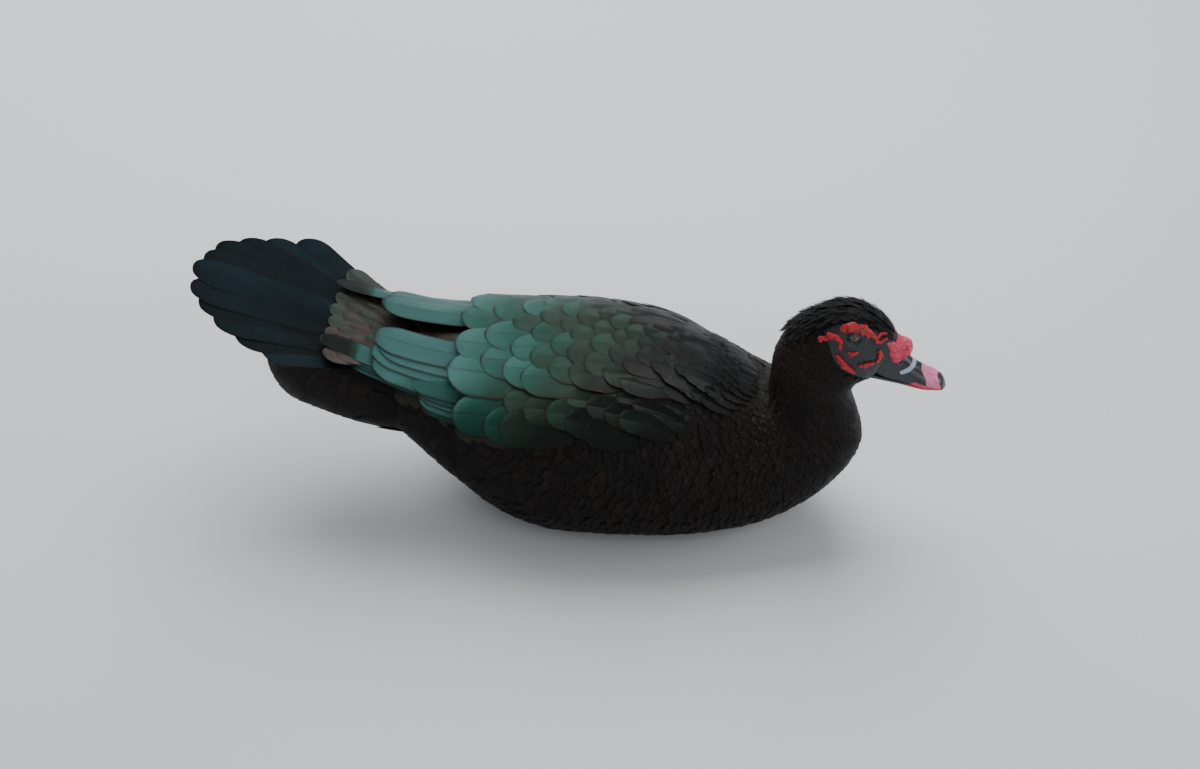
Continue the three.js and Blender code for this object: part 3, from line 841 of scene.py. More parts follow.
@dataclass(frozen=True)
class PlumageFinish:
    """Feathers in the colour of their zone, with barbs, a shaft and a rim on each vane."""

    name: str
    zone: Zone
    roughness: float = 0.5
    metallic: float = 0.2
    sheen: float = 0.0
    specular: float = 0.2
    has_vanes: bool = True

    def build(self) -> Material:
        """Wires the material.

        Returns:
            The material.
        """
        board = Board(self.name)
        tone = board.attribute("tone") if self.has_vanes else 0.5
        if self.has_vanes:
            from_shaft, along, side = board.vane()
            # Painted shade: one half of each vane is lighter and the other darker, as if the vane's curve
            # turned one half to the light.
            painted_half_shade = board.math("MULTIPLY", side, 0.16)
            to_tip = board.math("MULTIPLY_ADD", along, 0.5, -0.3)
            tone = board.math("ADD", board.math("ADD", tone, painted_half_shade), to_tip)
        colour = self.colour(board, tone)
        patches = board.noise(55.0, 3.0)
        gloss = board.scaled(patches, 0.3, 0.75, self.roughness - 0.07, self.roughness + 0.1)
        if self.has_vanes:
            fine = board.barbs(from_shaft, along)
            shaft = board.scaled(from_shaft, 0.0, 0.045, 1.0, 0.0)
            sides, tip = board.scaled(from_shaft, 0.86, 0.98), board.scaled(along, 0.96, 0.995)
            edge = board.math("MAXIMUM", sides, tip)
            rim = (0.016, 0.008, 0.005) if self.zone is Zone.BACK else (0.004, 0.0035, 0.0035)
            colour = board.blend(board.math("MULTIPLY", edge, 0.8), colour, rim)
            colour = board.blend(board.math("MULTIPLY", shaft, 0.5), colour, (0.008, 0.007, 0.006))
            streak = board.scaled(fine, -1.0, 1.0, 0.8, 1.1)
            colour = board.blend(1.0, colour, streak, "MULTIPLY")
            normal = board.bump(fine, 0.00012, 0.55)
        else:
            normal = board.bump(board.noise(900.0, 3.0), 0.0006, 0.6)
        board.set(Base_Color=colour, Roughness=gloss, Metallic=self.metallic, Normal=normal)
        board.shader.inputs["Specular IOR Level"].default_value = self.specular
        if self.sheen:
            place = board.parts(board.coordinates)[0]
            board.set(Sheen_Weight=board.scaled(place, 0.06, -0.1, 0.0, self.sheen))
        board.shader.inputs["Sheen Roughness"].default_value = 0.3
        board.shader.inputs["Sheen Tint"].default_value = (0.62, 0.8, 0.9, 1.0)
        return board.material

    def colour(self, board: Board, tone: object) -> Socket:
        """Gives the zone's colour before the barbs and rims.

        Args:
            board: The material's board.
            tone: Each feather's tone.

        Returns:
            The colour's socket.
        """
        x, _, z = board.parts(board.coordinates)
        soft = board.noise(16.0, 2.0)
        vary = board.math("ADD", board.math("MULTIPLY", board.math("SUBTRACT", tone, 0.5), 0.3),
                          board.math("MULTIPLY", board.math("SUBTRACT", soft, 0.5), 0.35))
        if self.zone is Zone.BACK:
            # Painted sky sheen: high makes the feathers paler teal the higher they sit, as the sky lights the
            # top of the back; rear, flight and vary give the feathers' own teal.
            high = board.scaled(z, 0.1, 0.185, 0.3, 1.0)
            rear = board.scaled(x, 0.125, -0.13, 0.04, 0.82)
            flight = board.scaled(x, -0.07, -0.17, 0.0, 0.26)
            teal_and_painted_sheen = board.math("ADD", board.math("MULTIPLY_ADD", high, rear, flight), vary)
            teal_and_painted_sheen = board.math("MULTIPLY", teal_and_painted_sheen, board.scaled(x, -0.224, -0.204, 0.12, 1.0))
            return board.ramp(teal_and_painted_sheen, (
                (0.04, (0.005, 0.005, 0.0045)),
                (0.26, (0.006, 0.011, 0.008)),
                (0.44, (0.012, 0.026, 0.015)),
                (0.58, (0.008, 0.034, 0.022)),
                (0.76, (0.008, 0.06, 0.043)),
                (1.0, (0.036, 0.11, 0.1)),
            ))
        if self.zone is Zone.COVERTS:
            return board.ramp(board.math("ADD", 0.5, vary), (
                (0.2, (0.04, 0.022, 0.034)),
                (0.42, (0.03, 0.018, 0.014)),
                (0.6, (0.016, 0.02, 0.011)),
                (0.85, (0.008, 0.026, 0.022)),
            ))
        if self.zone is Zone.TAIL:
            return board.ramp(board.math("ADD", 0.45, vary), (
                (0.2, (0.002, 0.0025, 0.003)),
                (0.5, (0.003, 0.008, 0.01)),
                (0.8, (0.005, 0.019, 0.026)),
            ))
        if self.zone is Zone.CREST:
            return board.ramp(board.math("ADD", 0.4, vary), (
                (0.2, (0.0025, 0.0025, 0.0028)),
                (0.8, (0.009, 0.0075, 0.007)),
            ))
        brown = board.ramp(board.math("ADD", 0.45, vary), (
            (0.15, (0.0035, 0.0028, 0.0026)),
            (0.5, (0.007, 0.005, 0.0042)),
            (0.85, (0.019, 0.012, 0.008)),
        ))
        nape = board.math("MULTIPLY", board.scaled(x, 0.24, 0.17), board.scaled(z, 0.15, 0.2))
        frosted = board.math("MULTIPLY", nape, board.scaled(board.noise(420.0, 2.0), 0.58, 0.72))
        warm = board.blend(board.math("MULTIPLY", nape, 0.55), brown, (0.026, 0.013, 0.009))
        warm = board.blend(board.math("MULTIPLY", frosted, 0.6), warm, (0.16, 0.11, 0.1))
        # Painted glints: small olive-bronze spots of light scattered over the collar feathers.
        collar = board.math("MULTIPLY", board.scaled(x, 0.125, 0.165), board.scaled(x, 0.2, 0.175))
        painted_glints = board.math("MULTIPLY", collar, board.scaled(board.noise(300.0, 2.0), 0.58, 0.72))
        return board.blend(board.math("MULTIPLY", painted_glints, 0.4), warm, (0.085, 0.062, 0.02))


@dataclass(frozen=True)
class SkinFinish:
    """Bare, warty or horny skin with its own colours and relief."""

    name: str
    dark: Colour
    light: Colour
    roughness: float
    cell_scale: float
    relief: float
    speckle: float = 0.0
    coat: float = 0.0

    def build(self) -> Material:
        """Wires the material.

        Returns:
            The material.
        """
        board = Board(self.name)
        cells = board.cells(self.cell_scale)
        patches = board.noise(self.cell_scale * 0.22, 3.0)
        colour = board.ramp(board.math("MULTIPLY_ADD", cells, 0.5, board.math("MULTIPLY", patches, 0.75)),
                            ((0.3, self.dark), (0.75, self.light)))
        if self.speckle:
            dots = board.scaled(board.noise(self.cell_scale * 0.9, 1.0), 0.62, 0.7, 0.0, self.speckle)
            colour = board.blend(dots, colour, (0.02, 0.008, 0.012))
        fine = board.bump(board.noise(self.cell_scale * 3.0, 3.0), self.relief * 0.3, 0.6)
        normal = board.bump(cells, self.relief, 0.8, fine)
        rough = board.scaled(patches, 0.3, 0.7, self.roughness - 0.08, self.roughness + 0.1)
        board.set(Base_Color=colour, Roughness=rough, Normal=normal)
        board.set(Coat_Weight=self.coat, Coat_Roughness=0.25)
        return board.material


@dataclass(frozen=True)
class BillFinish:
    """The bill's horn: blue-black, with a pale hooked band, a pink end and a pink lower edge."""

    name: str
    lower: bool = False

    def build(self) -> Material:
        """Wires the material.

        Returns:
            The material.
        """
        board = Board(self.name)
        horn, flesh, edge = board.noise(120.0, 3.0), board.noise(160.0, 3.0), board.noise(200.0, 2.0)
        black = board.ramp(horn, ((0.3, (0.004, 0.005, 0.009)), (0.75, (0.012, 0.014, 0.026))))
        pink = board.ramp(flesh, ((0.3, (0.5, 0.1, 0.2)), (0.75, (0.68, 0.24, 0.36))))
        deep_pink = board.ramp(edge, ((0.3, (0.42, 0.012, 0.05)), (0.7, (0.6, 0.05, 0.12))))
        if self.lower:
            front = board.scaled(board.parts(board.coordinates)[0], 0.294, 0.306)
            colour = board.blend(front, black, deep_pink)
        else:
            wave = board.math("MULTIPLY", board.math("SUBTRACT", board.noise(260.0, 2.0), 0.5), 0.5)
            hook, end, rim = (
                board.scaled(board.math("ADD", board.attribute(name), wave), 0.3, 0.7)
                for name in ("band", "pink", "edge")
            )
            colour = board.blend(board.math("MULTIPLY", hook, 0.9), black, (0.34, 0.4, 0.56))
            colour = board.blend(end, colour, pink)
            colour = board.blend(rim, colour, deep_pink)
        grain = board.noise(420.0, 3.0, stretch=(0.3, 1.0, 1.0))
        board.set(Roughness=board.scaled(grain, 0.3, 0.7, 0.3, 0.45), Normal=board.bump(grain, 0.0003, 0.4))
        board.set(Base_Color=colour, Coat_Weight=0.25, Coat_Roughness=0.2)
        return board.material


@dataclass(frozen=True)
class EyeFinish:
    """An amber-brown iris round a black pupil, under a clear wet front."""

    name: str
    centre: Place
    iris: float
    pupil: float

    def build(self) -> Material:
        """Wires the material on the distance from the eye's middle, in side view.

        Returns:
            The material.
        """
        board = Board(self.name)
        x, _, z = board.parts(board.coordinates)
        across = board.math("SUBTRACT", x, self.centre[0])
        up = board.math("SUBTRACT", z, self.centre[2])
        squares = board.math("MULTIPLY", across, across), board.math("MULTIPLY", up, up)
        out = board.math("SQRT", board.math("ADD", *squares))
        turn = board.math("MULTIPLY", board.math("ARCTAN2", up, across), 14.0)
        rays = board.math("MULTIPLY_ADD", board.math("SINE", turn), 0.08, board.noise(700.0, 3.0))
        amber = board.ramp(rays, (
            (0.3, (0.025, 0.01, 0.003)),
            (0.55, (0.09, 0.04, 0.01)),
            (0.75, (0.2, 0.1, 0.026)),
        ))
        ring = board.scaled(out, self.iris * 0.8, self.iris)
        colour = board.blend(ring, amber, (0.01, 0.006, 0.004))
        colour = board.blend(board.scaled(out, self.pupil, self.pupil * 0.9), colour, (0.001, 0.001, 0.001))
        board.set(Base_Color=colour, Roughness=0.2, Coat_Weight=0.6, Coat_Roughness=0.02)
        return board.material


# The duck's measures, in millimetres, as in the solid model.

RUNGS = (
    (-214, 150, -218, 110, 30, 0.5, 2.1),
    (-190, 156, -196, 86, 44, 0.5, 2.1),
    (-160, 163, -165, 66, 62, 0.48, 2.2),
    (-120, 168, -122, 38, 84, 0.46, 2.3),
    (-75, 173, -75, 10, 102, 0.45, 2.4),
    (-30, 178, -30, -3, 110, 0.45, 2.5),
    (20, 181, 20, -3, 112, 0.45, 2.5),
    (70, 177, 72, -3, 107, 0.44, 2.4),
    (112, 166, 125, 0, 96, 0.44, 2.3),
    (142, 153, 176, 12, 82, 0.44, 2.2),
    (160, 147, 218, 36, 68, 0.45, 2.1),
    (168, 149, 246, 64, 55, 0.47, 2),
    (170, 156, 258, 92, 45, 0.5, 2),
    (171, 166, 253, 120, 38, 0.5, 2),
    (172, 178, 246, 146, 33, 0.5, 2),
    (176, 197, 250, 160, 30, 0.5, 2),
    (190, 221, 256, 166, 29, 0.52, 2),
    (215, 239, 261, 169, 28, 0.54, 2.1),
    (242, 248, 264, 171, 27, 0.56, 2.2),
    (264, 241, 266, 173, 23, 0.55, 2.2),
    (279, 230, 268, 175, 18, 0.5, 2.1),
    (287, 220, 271, 177, 13, 0.45, 2.1),
)
TORSO_START = 1.87
FACE_OUTLINE = (
    (219, 231), (228, 238), (243, 244), (262, 241), (276, 233), (290, 222), (290, 176), (262, 178),
    (250, 186), (239, 194), (231, 205), (226, 219),
)
UNDERTAIL_RUNGS = (
    (-324, 204, -321, 184, 9, 0.5, 2.2),
    (-306, 201, -308, 152, 17, 0.5, 2.4),
    (-298, 198.5, -304, 120, 27, 0.5, 2.5),
    (-278, 193, -284, 96, 40, 0.5, 2.6),
    (-240, 180, -244, 85, 49, 0.5, 2.6),
    (-200, 167, -201, 76, 55, 0.5, 2.5),
    (-165.3, 155, -165.3, 67, 58, 0.5, 2.3),
)
MANTLE_STATIONS = (
    (165, 151, 72, 84),
    (140, 160, 86, 88),
    (107, 172, 100, 90),
    (60, 183, 112, 92),
    (0, 187, 116, 93),
    (-50, 182, 115, 97),
    (-100, 178, 107, 106),
    (-150, 180, 95, 118),
    (-200, 189, 79, 154),
    (-245, 200, 68, 183),
)
BODY = Ladder(RUNGS)
UNDERTAIL = Ladder(UNDERTAIL_RUNGS)
MANTLE = Mantle(MANTLE_STATIONS, 2.4)
TAIL_PLANE = TailFan()
EYE_CENTRE = (248 * MM, 21 * MM, 230.8 * MM)


def inside_face(points: Array) -> Array:
    """Tells which places lie on the bare face, which leaves a feathered strip over the crown.

    Args:
        points: Places in rows of three.

    Returns:
        A mask of the places on the bare face.
    """
    x, y, z = points[:, 0], np.abs(points[:, 1]), points[:, 2]
    corners = np.array(FACE_OUTLINE) * MM
    inside = np.zeros(len(points), dtype=bool)
    for (x1, z1), (x2, z2) in zip(corners, np.roll(corners, -1, axis=0)):
        crosses = (z1 > z) != (z2 > z)
        with np.errstate(divide="ignore", invalid="ignore"):
            inside ^= crosses & (x < (x2 - x1) * (z - z1) / (z2 - z1) + x1)
    return inside & ((y > 10 * MM) | (x > 270 * MM)) & ((y > 7 * MM) | (z > 182 * MM))


@dataclass(frozen=True)
class Skin:
    """The body, neck and head under the feathers, bare on the face, with sockets for the eyes."""

    depth_body: float = 3.0 * MM
    depth_head: float = 1.3 * MM
    depth_face: float = 0.3 * MM
    rows: int = 230
    around: int = 112
    neck_row: float = 13.0
    body_share: float = 0.45
    socket_radius: float = 6.6 * MM
    socket_depth: float = 3.2 * MM
    ring_height: float = 0.6 * MM
    ring_gap: float = 1.15 * MM
    pouch_height: float = 1.1 * MM
    streak_height: float = 0.4 * MM
    streak_gap: float = 0.55 * MM

    def depth(self, at: Array) -> Array:
        """Gives how far the skin lies inside the outline."""
        return mix(self.depth_body, self.depth_head, smooth(at, 11.0, 15.5))

    def build(self, plumage: Material, face: Material) -> Piece:
        """Makes the skin.

        Args:
            plumage: The finish under the feathers.
            face: The finish of the bare face.

        Returns:
            The skin piece.
        """
        work = laid(self.rows, self.around, self.surface)
        close_tube(work)
        centres = np.array([facet.calc_center_median() for facet in work.faces])
        for facet, is_bare in zip(work.faces, inside_face(centres)):
            facet.material_index = int(is_bare)
        return finished("Skin", work, (plumage, face))

    def surface(self, share: Array, around: Array) -> Array:
        """Gives points on the skin, with its rows closer together on the head.

        Args:
            share: Shares along the body.
            around: Shares round it.

        Returns:
            Points in rows of three.
        """
        to_neck = mix(TORSO_START, self.neck_row, share / self.body_share)
        to_bill = mix(self.neck_row, BODY.last, (share - self.body_share) / (1 - self.body_share))
        at = np.where(share < self.body_share, to_neck, to_bill)
        angle = around * 2 * math.pi
        points = BODY.place(at, angle, -self.depth(at))
        bare = inside_face(points)
        points = np.where(bare[:, None], BODY.place(at, angle, -self.depth_face), points)
        return self.fold(points, bare)

    def fold(self, points: Array, bare: Array) -> Array:
        """Sinks the eye sockets and raises the wrinkles round them.

        Args:
            points: Places in rows of three.
            bare: A mask of the bare face.

        Returns:
            The moved places.
        """
        x, y, z = points.T
        out = np.hypot(x - EYE_CENTRE[0], (z - EYE_CENTRE[2]) * 1.1)
        turn = np.arctan2(z - EYE_CENTRE[2], x - EYE_CENTRE[0])
        side = np.sign(y) * (np.abs(y) > 8 * MM)
        socket = self.socket_depth * (1 - smooth(out, self.socket_radius * 0.75, self.socket_radius * 1.3))
        rings = self.ring_height * np.cos(out / self.ring_gap + 0.8 * np.sin(3 * turn))
        rings = rings * smooth(out, 6 * MM, 8 * MM) * (1 - smooth(out, 12 * MM, 19 * MM)) * bare
        pouch = self.pouch_height * np.exp(-(((out - 10.5 * MM) / (3.2 * MM)) ** 2))
        pouch = pouch * smooth(-turn, 0.2, 1.0) * bare
        streaks = self.streak_height * np.sin((z + 0.3 * x) / self.streak_gap + 1.6 * np.sin(x / (4.3 * MM)))
        streaks = streaks * smooth(out, 11 * MM, 15 * MM) * (1 - smooth(z, 226 * MM, 232 * MM)) * bare
        moved = points.copy()
        moved[:, 1] += side * (rings + pouch + streaks - socket)
        return moved


def laid(rows: int, around: int, surface: Callable[[Array, Array], Array]) -> Work:
    """Lays a grid on a surface.

    Args:
        rows: Segments along the surface.
        around: Segments round it.
        surface: Gives points for shares along and round, from 0 to 1.

    Returns:
        The mesh to work on.
    """
    work = bmesh.new()
    bmesh.ops.create_grid(work, x_segments=rows, y_segments=around, size=0.5)
    grid = np.array([vert.co[:2] for vert in work.verts]) + 0.5
    for vert, point in zip(work.verts, surface(grid[:, 0], grid[:, 1])):
        vert.co = Vector(point)
    return work


def close_tube(work: Work, open_below: float = -math.inf) -> None:
    """Joins the seam of a laid tube and fills its ends.

    Args:
        work: The tube.
        open_below: Ends at a lower x than this stay open.
    """
    bmesh.ops.remove_doubles(work, verts=work.verts, dist=SEAM)
    ends = [edge for edge in work.edges if edge.is_boundary and edge.verts[0].co.x > open_below]
    bmesh.ops.holes_fill(work, edges=ends, sides=0)
    bmesh.ops.recalc_face_normals(work, faces=work.faces)


def thicken(work: Work, thickness: float) -> None:
    """Makes a closed plate of an open sheet."""
    bmesh.ops.recalc_face_normals(work, faces=work.faces)
    bmesh.ops.solidify(work, geom=work.faces[:], thickness=thickness)
    bmesh.ops.recalc_face_normals(work, faces=work.faces)


def finished(name: str, work: Work, materials: Sequence[Material]) -> Piece:
    """Turns a worked mesh into a linked, smoothly shaded object with its finishes.

    Args:
        name: The piece's name.
        work: Its mesh.
        materials: Its finishes, by their index on the faces.

    Returns:
        The piece.
    """
    for face in work.faces:
        face.smooth = True
    mesh = bpy.data.meshes.new(name)
    work.to_mesh(mesh)
    work.free()
    for material in materials:
        mesh.materials.append(material)
    made = bpy.data.objects.new(name, mesh)
    bpy.context.collection.objects.link(made)
    return made


# Plumage, region by region.


def dressed(
    plumage: Plumage, material: Material, nodes: Sequence[str], flip: bool = False
) -> Piece:
    """Builds a piece of plumage and ties it to the frame.

    Args:
        plumage: The feathers.
        material: Their finish.
        nodes: The solid nodes that they stand for.
        flip: Mirrors them to the duck's right.

    Returns:
        The piece.
    """
    piece = plumage.build(flip)
    piece.data.materials.append(material)
    return tied(piece, nodes)


def tied(piece: Piece, nodes: Sequence[str]) -> Piece:
    """Ties a piece to the body and to the nodes that it stands for.

    Args:
        piece: The piece.
        nodes: The solid nodes that it stands for.

    Returns:
        The same piece.
    """
    piece.name = piece.name.lower().replace(" ", "_")
    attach(piece, "root")
    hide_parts(*nodes)
    log.info("%s: %d faces", piece.name, len(piece.data.polygons))
    return piece


@dataclass(frozen=True)
class Patch:
    """One stretch of the body's plumage."""

    name: str
    a_range: Pair
    gap: Pair
    length: Pair
    seed: int
    vane: Vane = Vane(along=5, across=2)
    raised: Pair = (0.1 * MM, 0.9 * MM)
    reach: float = math.pi
    node: str = "torso"
    slot: str = "body_feathers"


@dataclass(frozen=True)
class BodyCoat:
    """The small feathers on the body, neck and head, and the longer ones under the tail."""

    skin: Skin
    patches: tuple[Patch, ...] = (
        Patch("Flank and breast feathers", (TORSO_START, 7.6), (9.5 * MM, 6.6 * MM), (26 * MM, 19 * MM), 11),
        Patch("Fore breast feathers", (7.6, 11.6), (6.6 * MM, 5.0 * MM), (19 * MM, 14 * MM), 12),
        Patch(
            "Neck feathers", (11.6, 15.4), (4.6 * MM, 3.3 * MM), (13.5 * MM, 9.5 * MM), 13,
            Vane(5, 2, root_width=0.6), node="neck",
        ),
        Patch(
            "Head feathers", (15.4, 20.9), (2.9 * MM, 2.1 * MM), (7.6 * MM, 4.6 * MM), 14,
            Vane(4, 2, root_width=0.6), node="head", slot="face_skin",
        ),
    )
    rump: Patch = Patch(
        "Rump feathers", (TORSO_START, 4.6), (11 * MM, 12 * MM), (36 * MM, 32 * MM), 16,
        Vane(7, 4, arch=0.07), (1.5 * MM, 3.5 * MM), 1.15,
    )
    forehead: float = 275 * MM
    wing_edge: tuple[Pair, ...] = (
        (-245, 60), (-200, 70), (-160, 78), (-120, 88), (-60, 106), (0, 112), (60, 106), (100, 86),
        (116, 64), (130, 48), (144, 34), (156, 14), (166, 0),
    )

    def under_wing(self, points: Array) -> Array:
        """Tells which places the wings and back feathers cover.

        Args:
            points: Places in rows of three.

        Returns:
            A mask of the covered places.
        """
        arcs, _ = MANTLE.nearest(points)
        edge = np.array(self.wing_edge) * MM
        return arcs < np.interp(points[:, 0], edge[:, 0], edge[:, 1]) - 6 * MM

    def build(self, material: Material, rump: Material) -> list[Piece]:
        """Makes the coat's pieces.

        Args:
            material: The coat's finish.
            rump: The finish over the tail's root.

        Returns:
            The pieces.
        """
        made = [self.build_patch(patch, material) for patch in self.patches]
        return [*made, self.build_patch(self.rump, rump)]

    def build_patch(self, patch: Patch, material: Material) -> Piece:
        """Covers one stretch, apart from what the wings and the bare face take.

        Args:
            patch: The stretch.
            material: Its finish.

        Returns:
            The piece.
        """
        plumage = Plumage(patch.name, patch.seed)
        low, high = patch.a_range

        def share(at: Array) -> Array:
            """Gives how far along the stretch a rung index is."""
            return np.clip((at - low) / (high - low), 0.0, 1.0)

        round_body = (-patch.reach, patch.reach)
        a, b = scatter(BODY, patch.a_range, round_body, lambda at: mix(*patch.gap, share(at)), plumage.random)
        points = BODY.place(a, b, 0.0)
        keep = ~inside_face(points)
        if patch is not self.rump:
            keep &= ~self.under_wing(points)
        keep &= points[:, 0] < self.forehead
        a, b = a[keep], b[keep]
        draw = plumage.random
        length = mix(*patch.length, share(a)) * draw.uniform(0.88, 1.12, len(a))
        depth = self.skin.depth(a)
        roots = Roots(
            a, b, length, length * draw.uniform(0.3, 0.36, len(a)), draw.normal(0, 0.1, len(a)),
            -depth - 0.25 * MM, depth + 0.25 * MM + draw.uniform(*patch.raised, len(a)),
        )
        plumage.lay(BODY, roots, patch.vane)
        return dressed(plumage, material, (patch.node,))


@dataclass(frozen=True)
class UndertailFeathers:
    """The long soft feathers under the tail, round a dark core."""

    gap: float = 9.5 * MM
    length: float = 36 * MM
    depth: float = 3.5 * MM
    core_start: float = 0.4
    bare_top: float = math.radians(24)
    least_room: float = 5 * MM

    def core_surface(self, share: Array, around: Array) -> Array:
        """Gives points on the core for shares along and round it."""
        return UNDERTAIL.place(mix(self.core_start, UNDERTAIL.last, share), around * 2 * math.pi, -self.depth)

    def build(self, material: Material, core: Material) -> list[Piece]:
        """Makes the core and the feathers.

        Args:
            material: The feathers' finish.
            core: The core's finish.

        Returns:
            The core and the feathers.
        """
        work = laid(40, 48, self.core_surface)
        close_tube(work)
        inner = tied(finished("Undertail core", work, (core,)), ("tail_coverts_under",))
        plumage = Plumage("Undertail feathers", 15)
        sides = (self.bare_top, 2 * math.pi - self.bare_top)
        a, b = scatter(UNDERTAIL, (0.0, UNDERTAIL.last), sides, lambda at: self.gap, plumage.random)
        draw = plumage.random
        room = (a + 0.35) * UNDERTAIL.steps(a, b)[0]
        a, b, room = (values[room > self.least_room] for values in (a, b, room))
        size = len(a)
        length = np.minimum(self.length * draw.uniform(0.85, 1.15, size), room)
        roots = Roots(
            a, b, length, length * 0.32, draw.normal(0, 0.08, size),
            np.full(size, -self.depth - 0.3 * MM), np.full(size, self.depth + 1.0 * MM),
        )
        plumage.lay(UNDERTAIL, roots, Vane(6, 4, root_width=0.55))
        return [inner, dressed(plumage, material, ("tail_coverts_under",))]


@dataclass(frozen=True)
class Tiles:
    """Feathers laid out like tiles on the mantle, small at the neck and broad at the rear."""

    front: float = 160 * MM
    rear: float = -52 * MM
    widths: Pair = (10.5 * MM, 50 * MM)
    row_pitch: float = 0.43
    side_pitch: float = 0.8
    half_width: float = 0.54
    slimness: Pair = (1.9, 1.75)
    shift: Pair = (-0.06, 0.06)
    fan: tuple = ((0, 30 * MM, 120 * MM), (0.0, 0.02, -0.1))
    sunk: float = -2.4 * MM
    small: Vane = Vane(5, 4, 0.5, arch=0.05)

    def rows(self, outer: Callable[[float], float], draw: np.random.Generator) -> Roots:
        """Lays out the rows.

        Args:
            outer: Gives how far from the midline the rows reach at an x.
            draw: Draws the small shifts.

        Returns:
            The roots on both sides.
        """
        groups, x, row = [], self.front, 0
        while x > self.rear:
            share = np.clip((self.front - x) / (self.front - self.rear), 0.0, 1.0)
            width = mix(*self.widths, share**0.95)
            pitch = width * self.side_pitch
            count = int(outer(x) / pitch) + 1
            steps = np.arange(-count, count + 1) + 0.5 * (row % 2)
            b = steps * pitch + draw.uniform(*self.shift, len(steps)) * width
            b = b[np.abs(b) <= outer(x)]
            size = len(b)
            length = width * mix(*self.slimness, share) * draw.uniform(0.95, 1.05, size)
            groups.append(
                Roots(
                    a=x + draw.uniform(*self.shift, size) * width,
                    b=b,
                    length=length,
                    half_width=width * self.half_width * draw.uniform(0.96, 1.04, size),
                    heading=np.sign(b) * np.interp(np.abs(b), *self.fan) + draw.normal(0, 0.03, size),
                    base=self.sunk + 0.3 * MM * (np.arange(size) % 2),
                    lift=length * 0.03 + 2.2 * MM,
                )
            )
            x -= width * self.row_pitch
            row += 1
        return Roots.join(groups)

    def lay(self, plumage: Plumage, roots: Roots, limit: float, large: Vane) -> None:
        """Lays tiled feathers on the mantle, the short ones with a plainer vane.

        Args:
            plumage: The piece that they go into.
            roots: Their places and sizes.
            limit: The length from which a feather is a large one.
            large: The large feathers' vane.
        """
        plumage.lay(MANTLE, roots.kept(roots.length < limit), self.small)
        plumage.lay(MANTLE, roots.kept(roots.length >= limit), large)


@dataclass(frozen=True)
class Padding:
    """The dark bed that carries the back and wing feathers."""

    depth: Pair = (3.6 * MM, 13 * MM)
    sinking: Pair = (-30 * MM, -95 * MM)
    side_drop: float = 3 * MM
    thickness: float = 5 * MM
    edge: tuple[Pair, ...] = (
        (-165, 60), (-150, 68), (-110, 84), (-60, 100), (0, 102), (50, 90), (85, 64), (105, 42),
        (130, 22), (140, 10),
    )

    def build(self, material: Material) -> Piece:
        """Makes the bed.

        Args:
            material: Its finish.

        Returns:
            The bed.
        """
        work = laid(80, 60, self.surface)
        thicken(work, self.thickness)
        return tied(finished("Wing bed", work, (material,)), ("wing_left", "wing_right"))

    def surface(self, share: Array, around: Array) -> Array:
        """Gives points on the bed's top, which sinks at the rear and at both sides.

        Args:
            share: Shares along the bed, from the rear.
            around: Shares across it, from the right.

        Returns:
            Points in rows of three.
        """
        edge = np.array(self.edge) * MM
        x = mix(edge[0, 0], edge[-1, 0], share)
        arc = (2 * around - 1) * np.interp(x, edge[:, 0], edge[:, 1])
        sunk = mix(*self.depth, smooth(x, *self.sinking))
        return MANTLE.place(x, arc, -sunk - self.side_drop * smooth(np.abs(around - 0.5), 0.4, 0.5))


@dataclass(frozen=True)
class BackFeathers:
    """The tiled feathers between the wings, which reach a given distance from the midline at each x."""

    places: tuple[float, ...] = (-50 * MM, 140 * MM, 160 * MM)
    reaches: tuple[float, ...] = (69 * MM, 50 * MM, 22 * MM)
    tuck: float = 4.6 * MM

    def reach(self, x: Array) -> Array:
        """Gives the distance at an x."""
        return np.interp(x, self.places, self.reaches)

    def build(self, material: Material) -> Piece:
        """Makes the back's feathers.

        Args:
            material: Their finish.

        Returns:
            The feathers.
        """
        plumage = Plumage("Back feathers", 21)
        tiles = Tiles()
        roots = tiles.rows(self.reach, plumage.random)
        outer = smooth(np.abs(roots.b) / self.reach(roots.a), 0.45, 0.95)
        fore, side = smooth(roots.a, 112 * MM, 152 * MM), outer * smooth(roots.a, 70 * MM, 110 * MM)
        tuck = self.tuck * np.maximum(fore, side)
        roots.base -= tuck
        roots.lift += 0.35 * tuck
        tiles.lay(plumage, roots, 45 * MM, Vane(12, 10, 0.5, arch=0.035, shaft=0.25 * MM))
        return dressed(plumage, material, ("scapulars_left", "scapulars_right"))


@dataclass(frozen=True)
class FlightGroup:
    """One group of a wing's long feathers, from the innermost to the outermost, lengths in millimetres."""

    name: str
    count: int
    x: Pair
    arc: Pair
    drift: Pair
    length: Pair
    level: Pair
    half_width: float


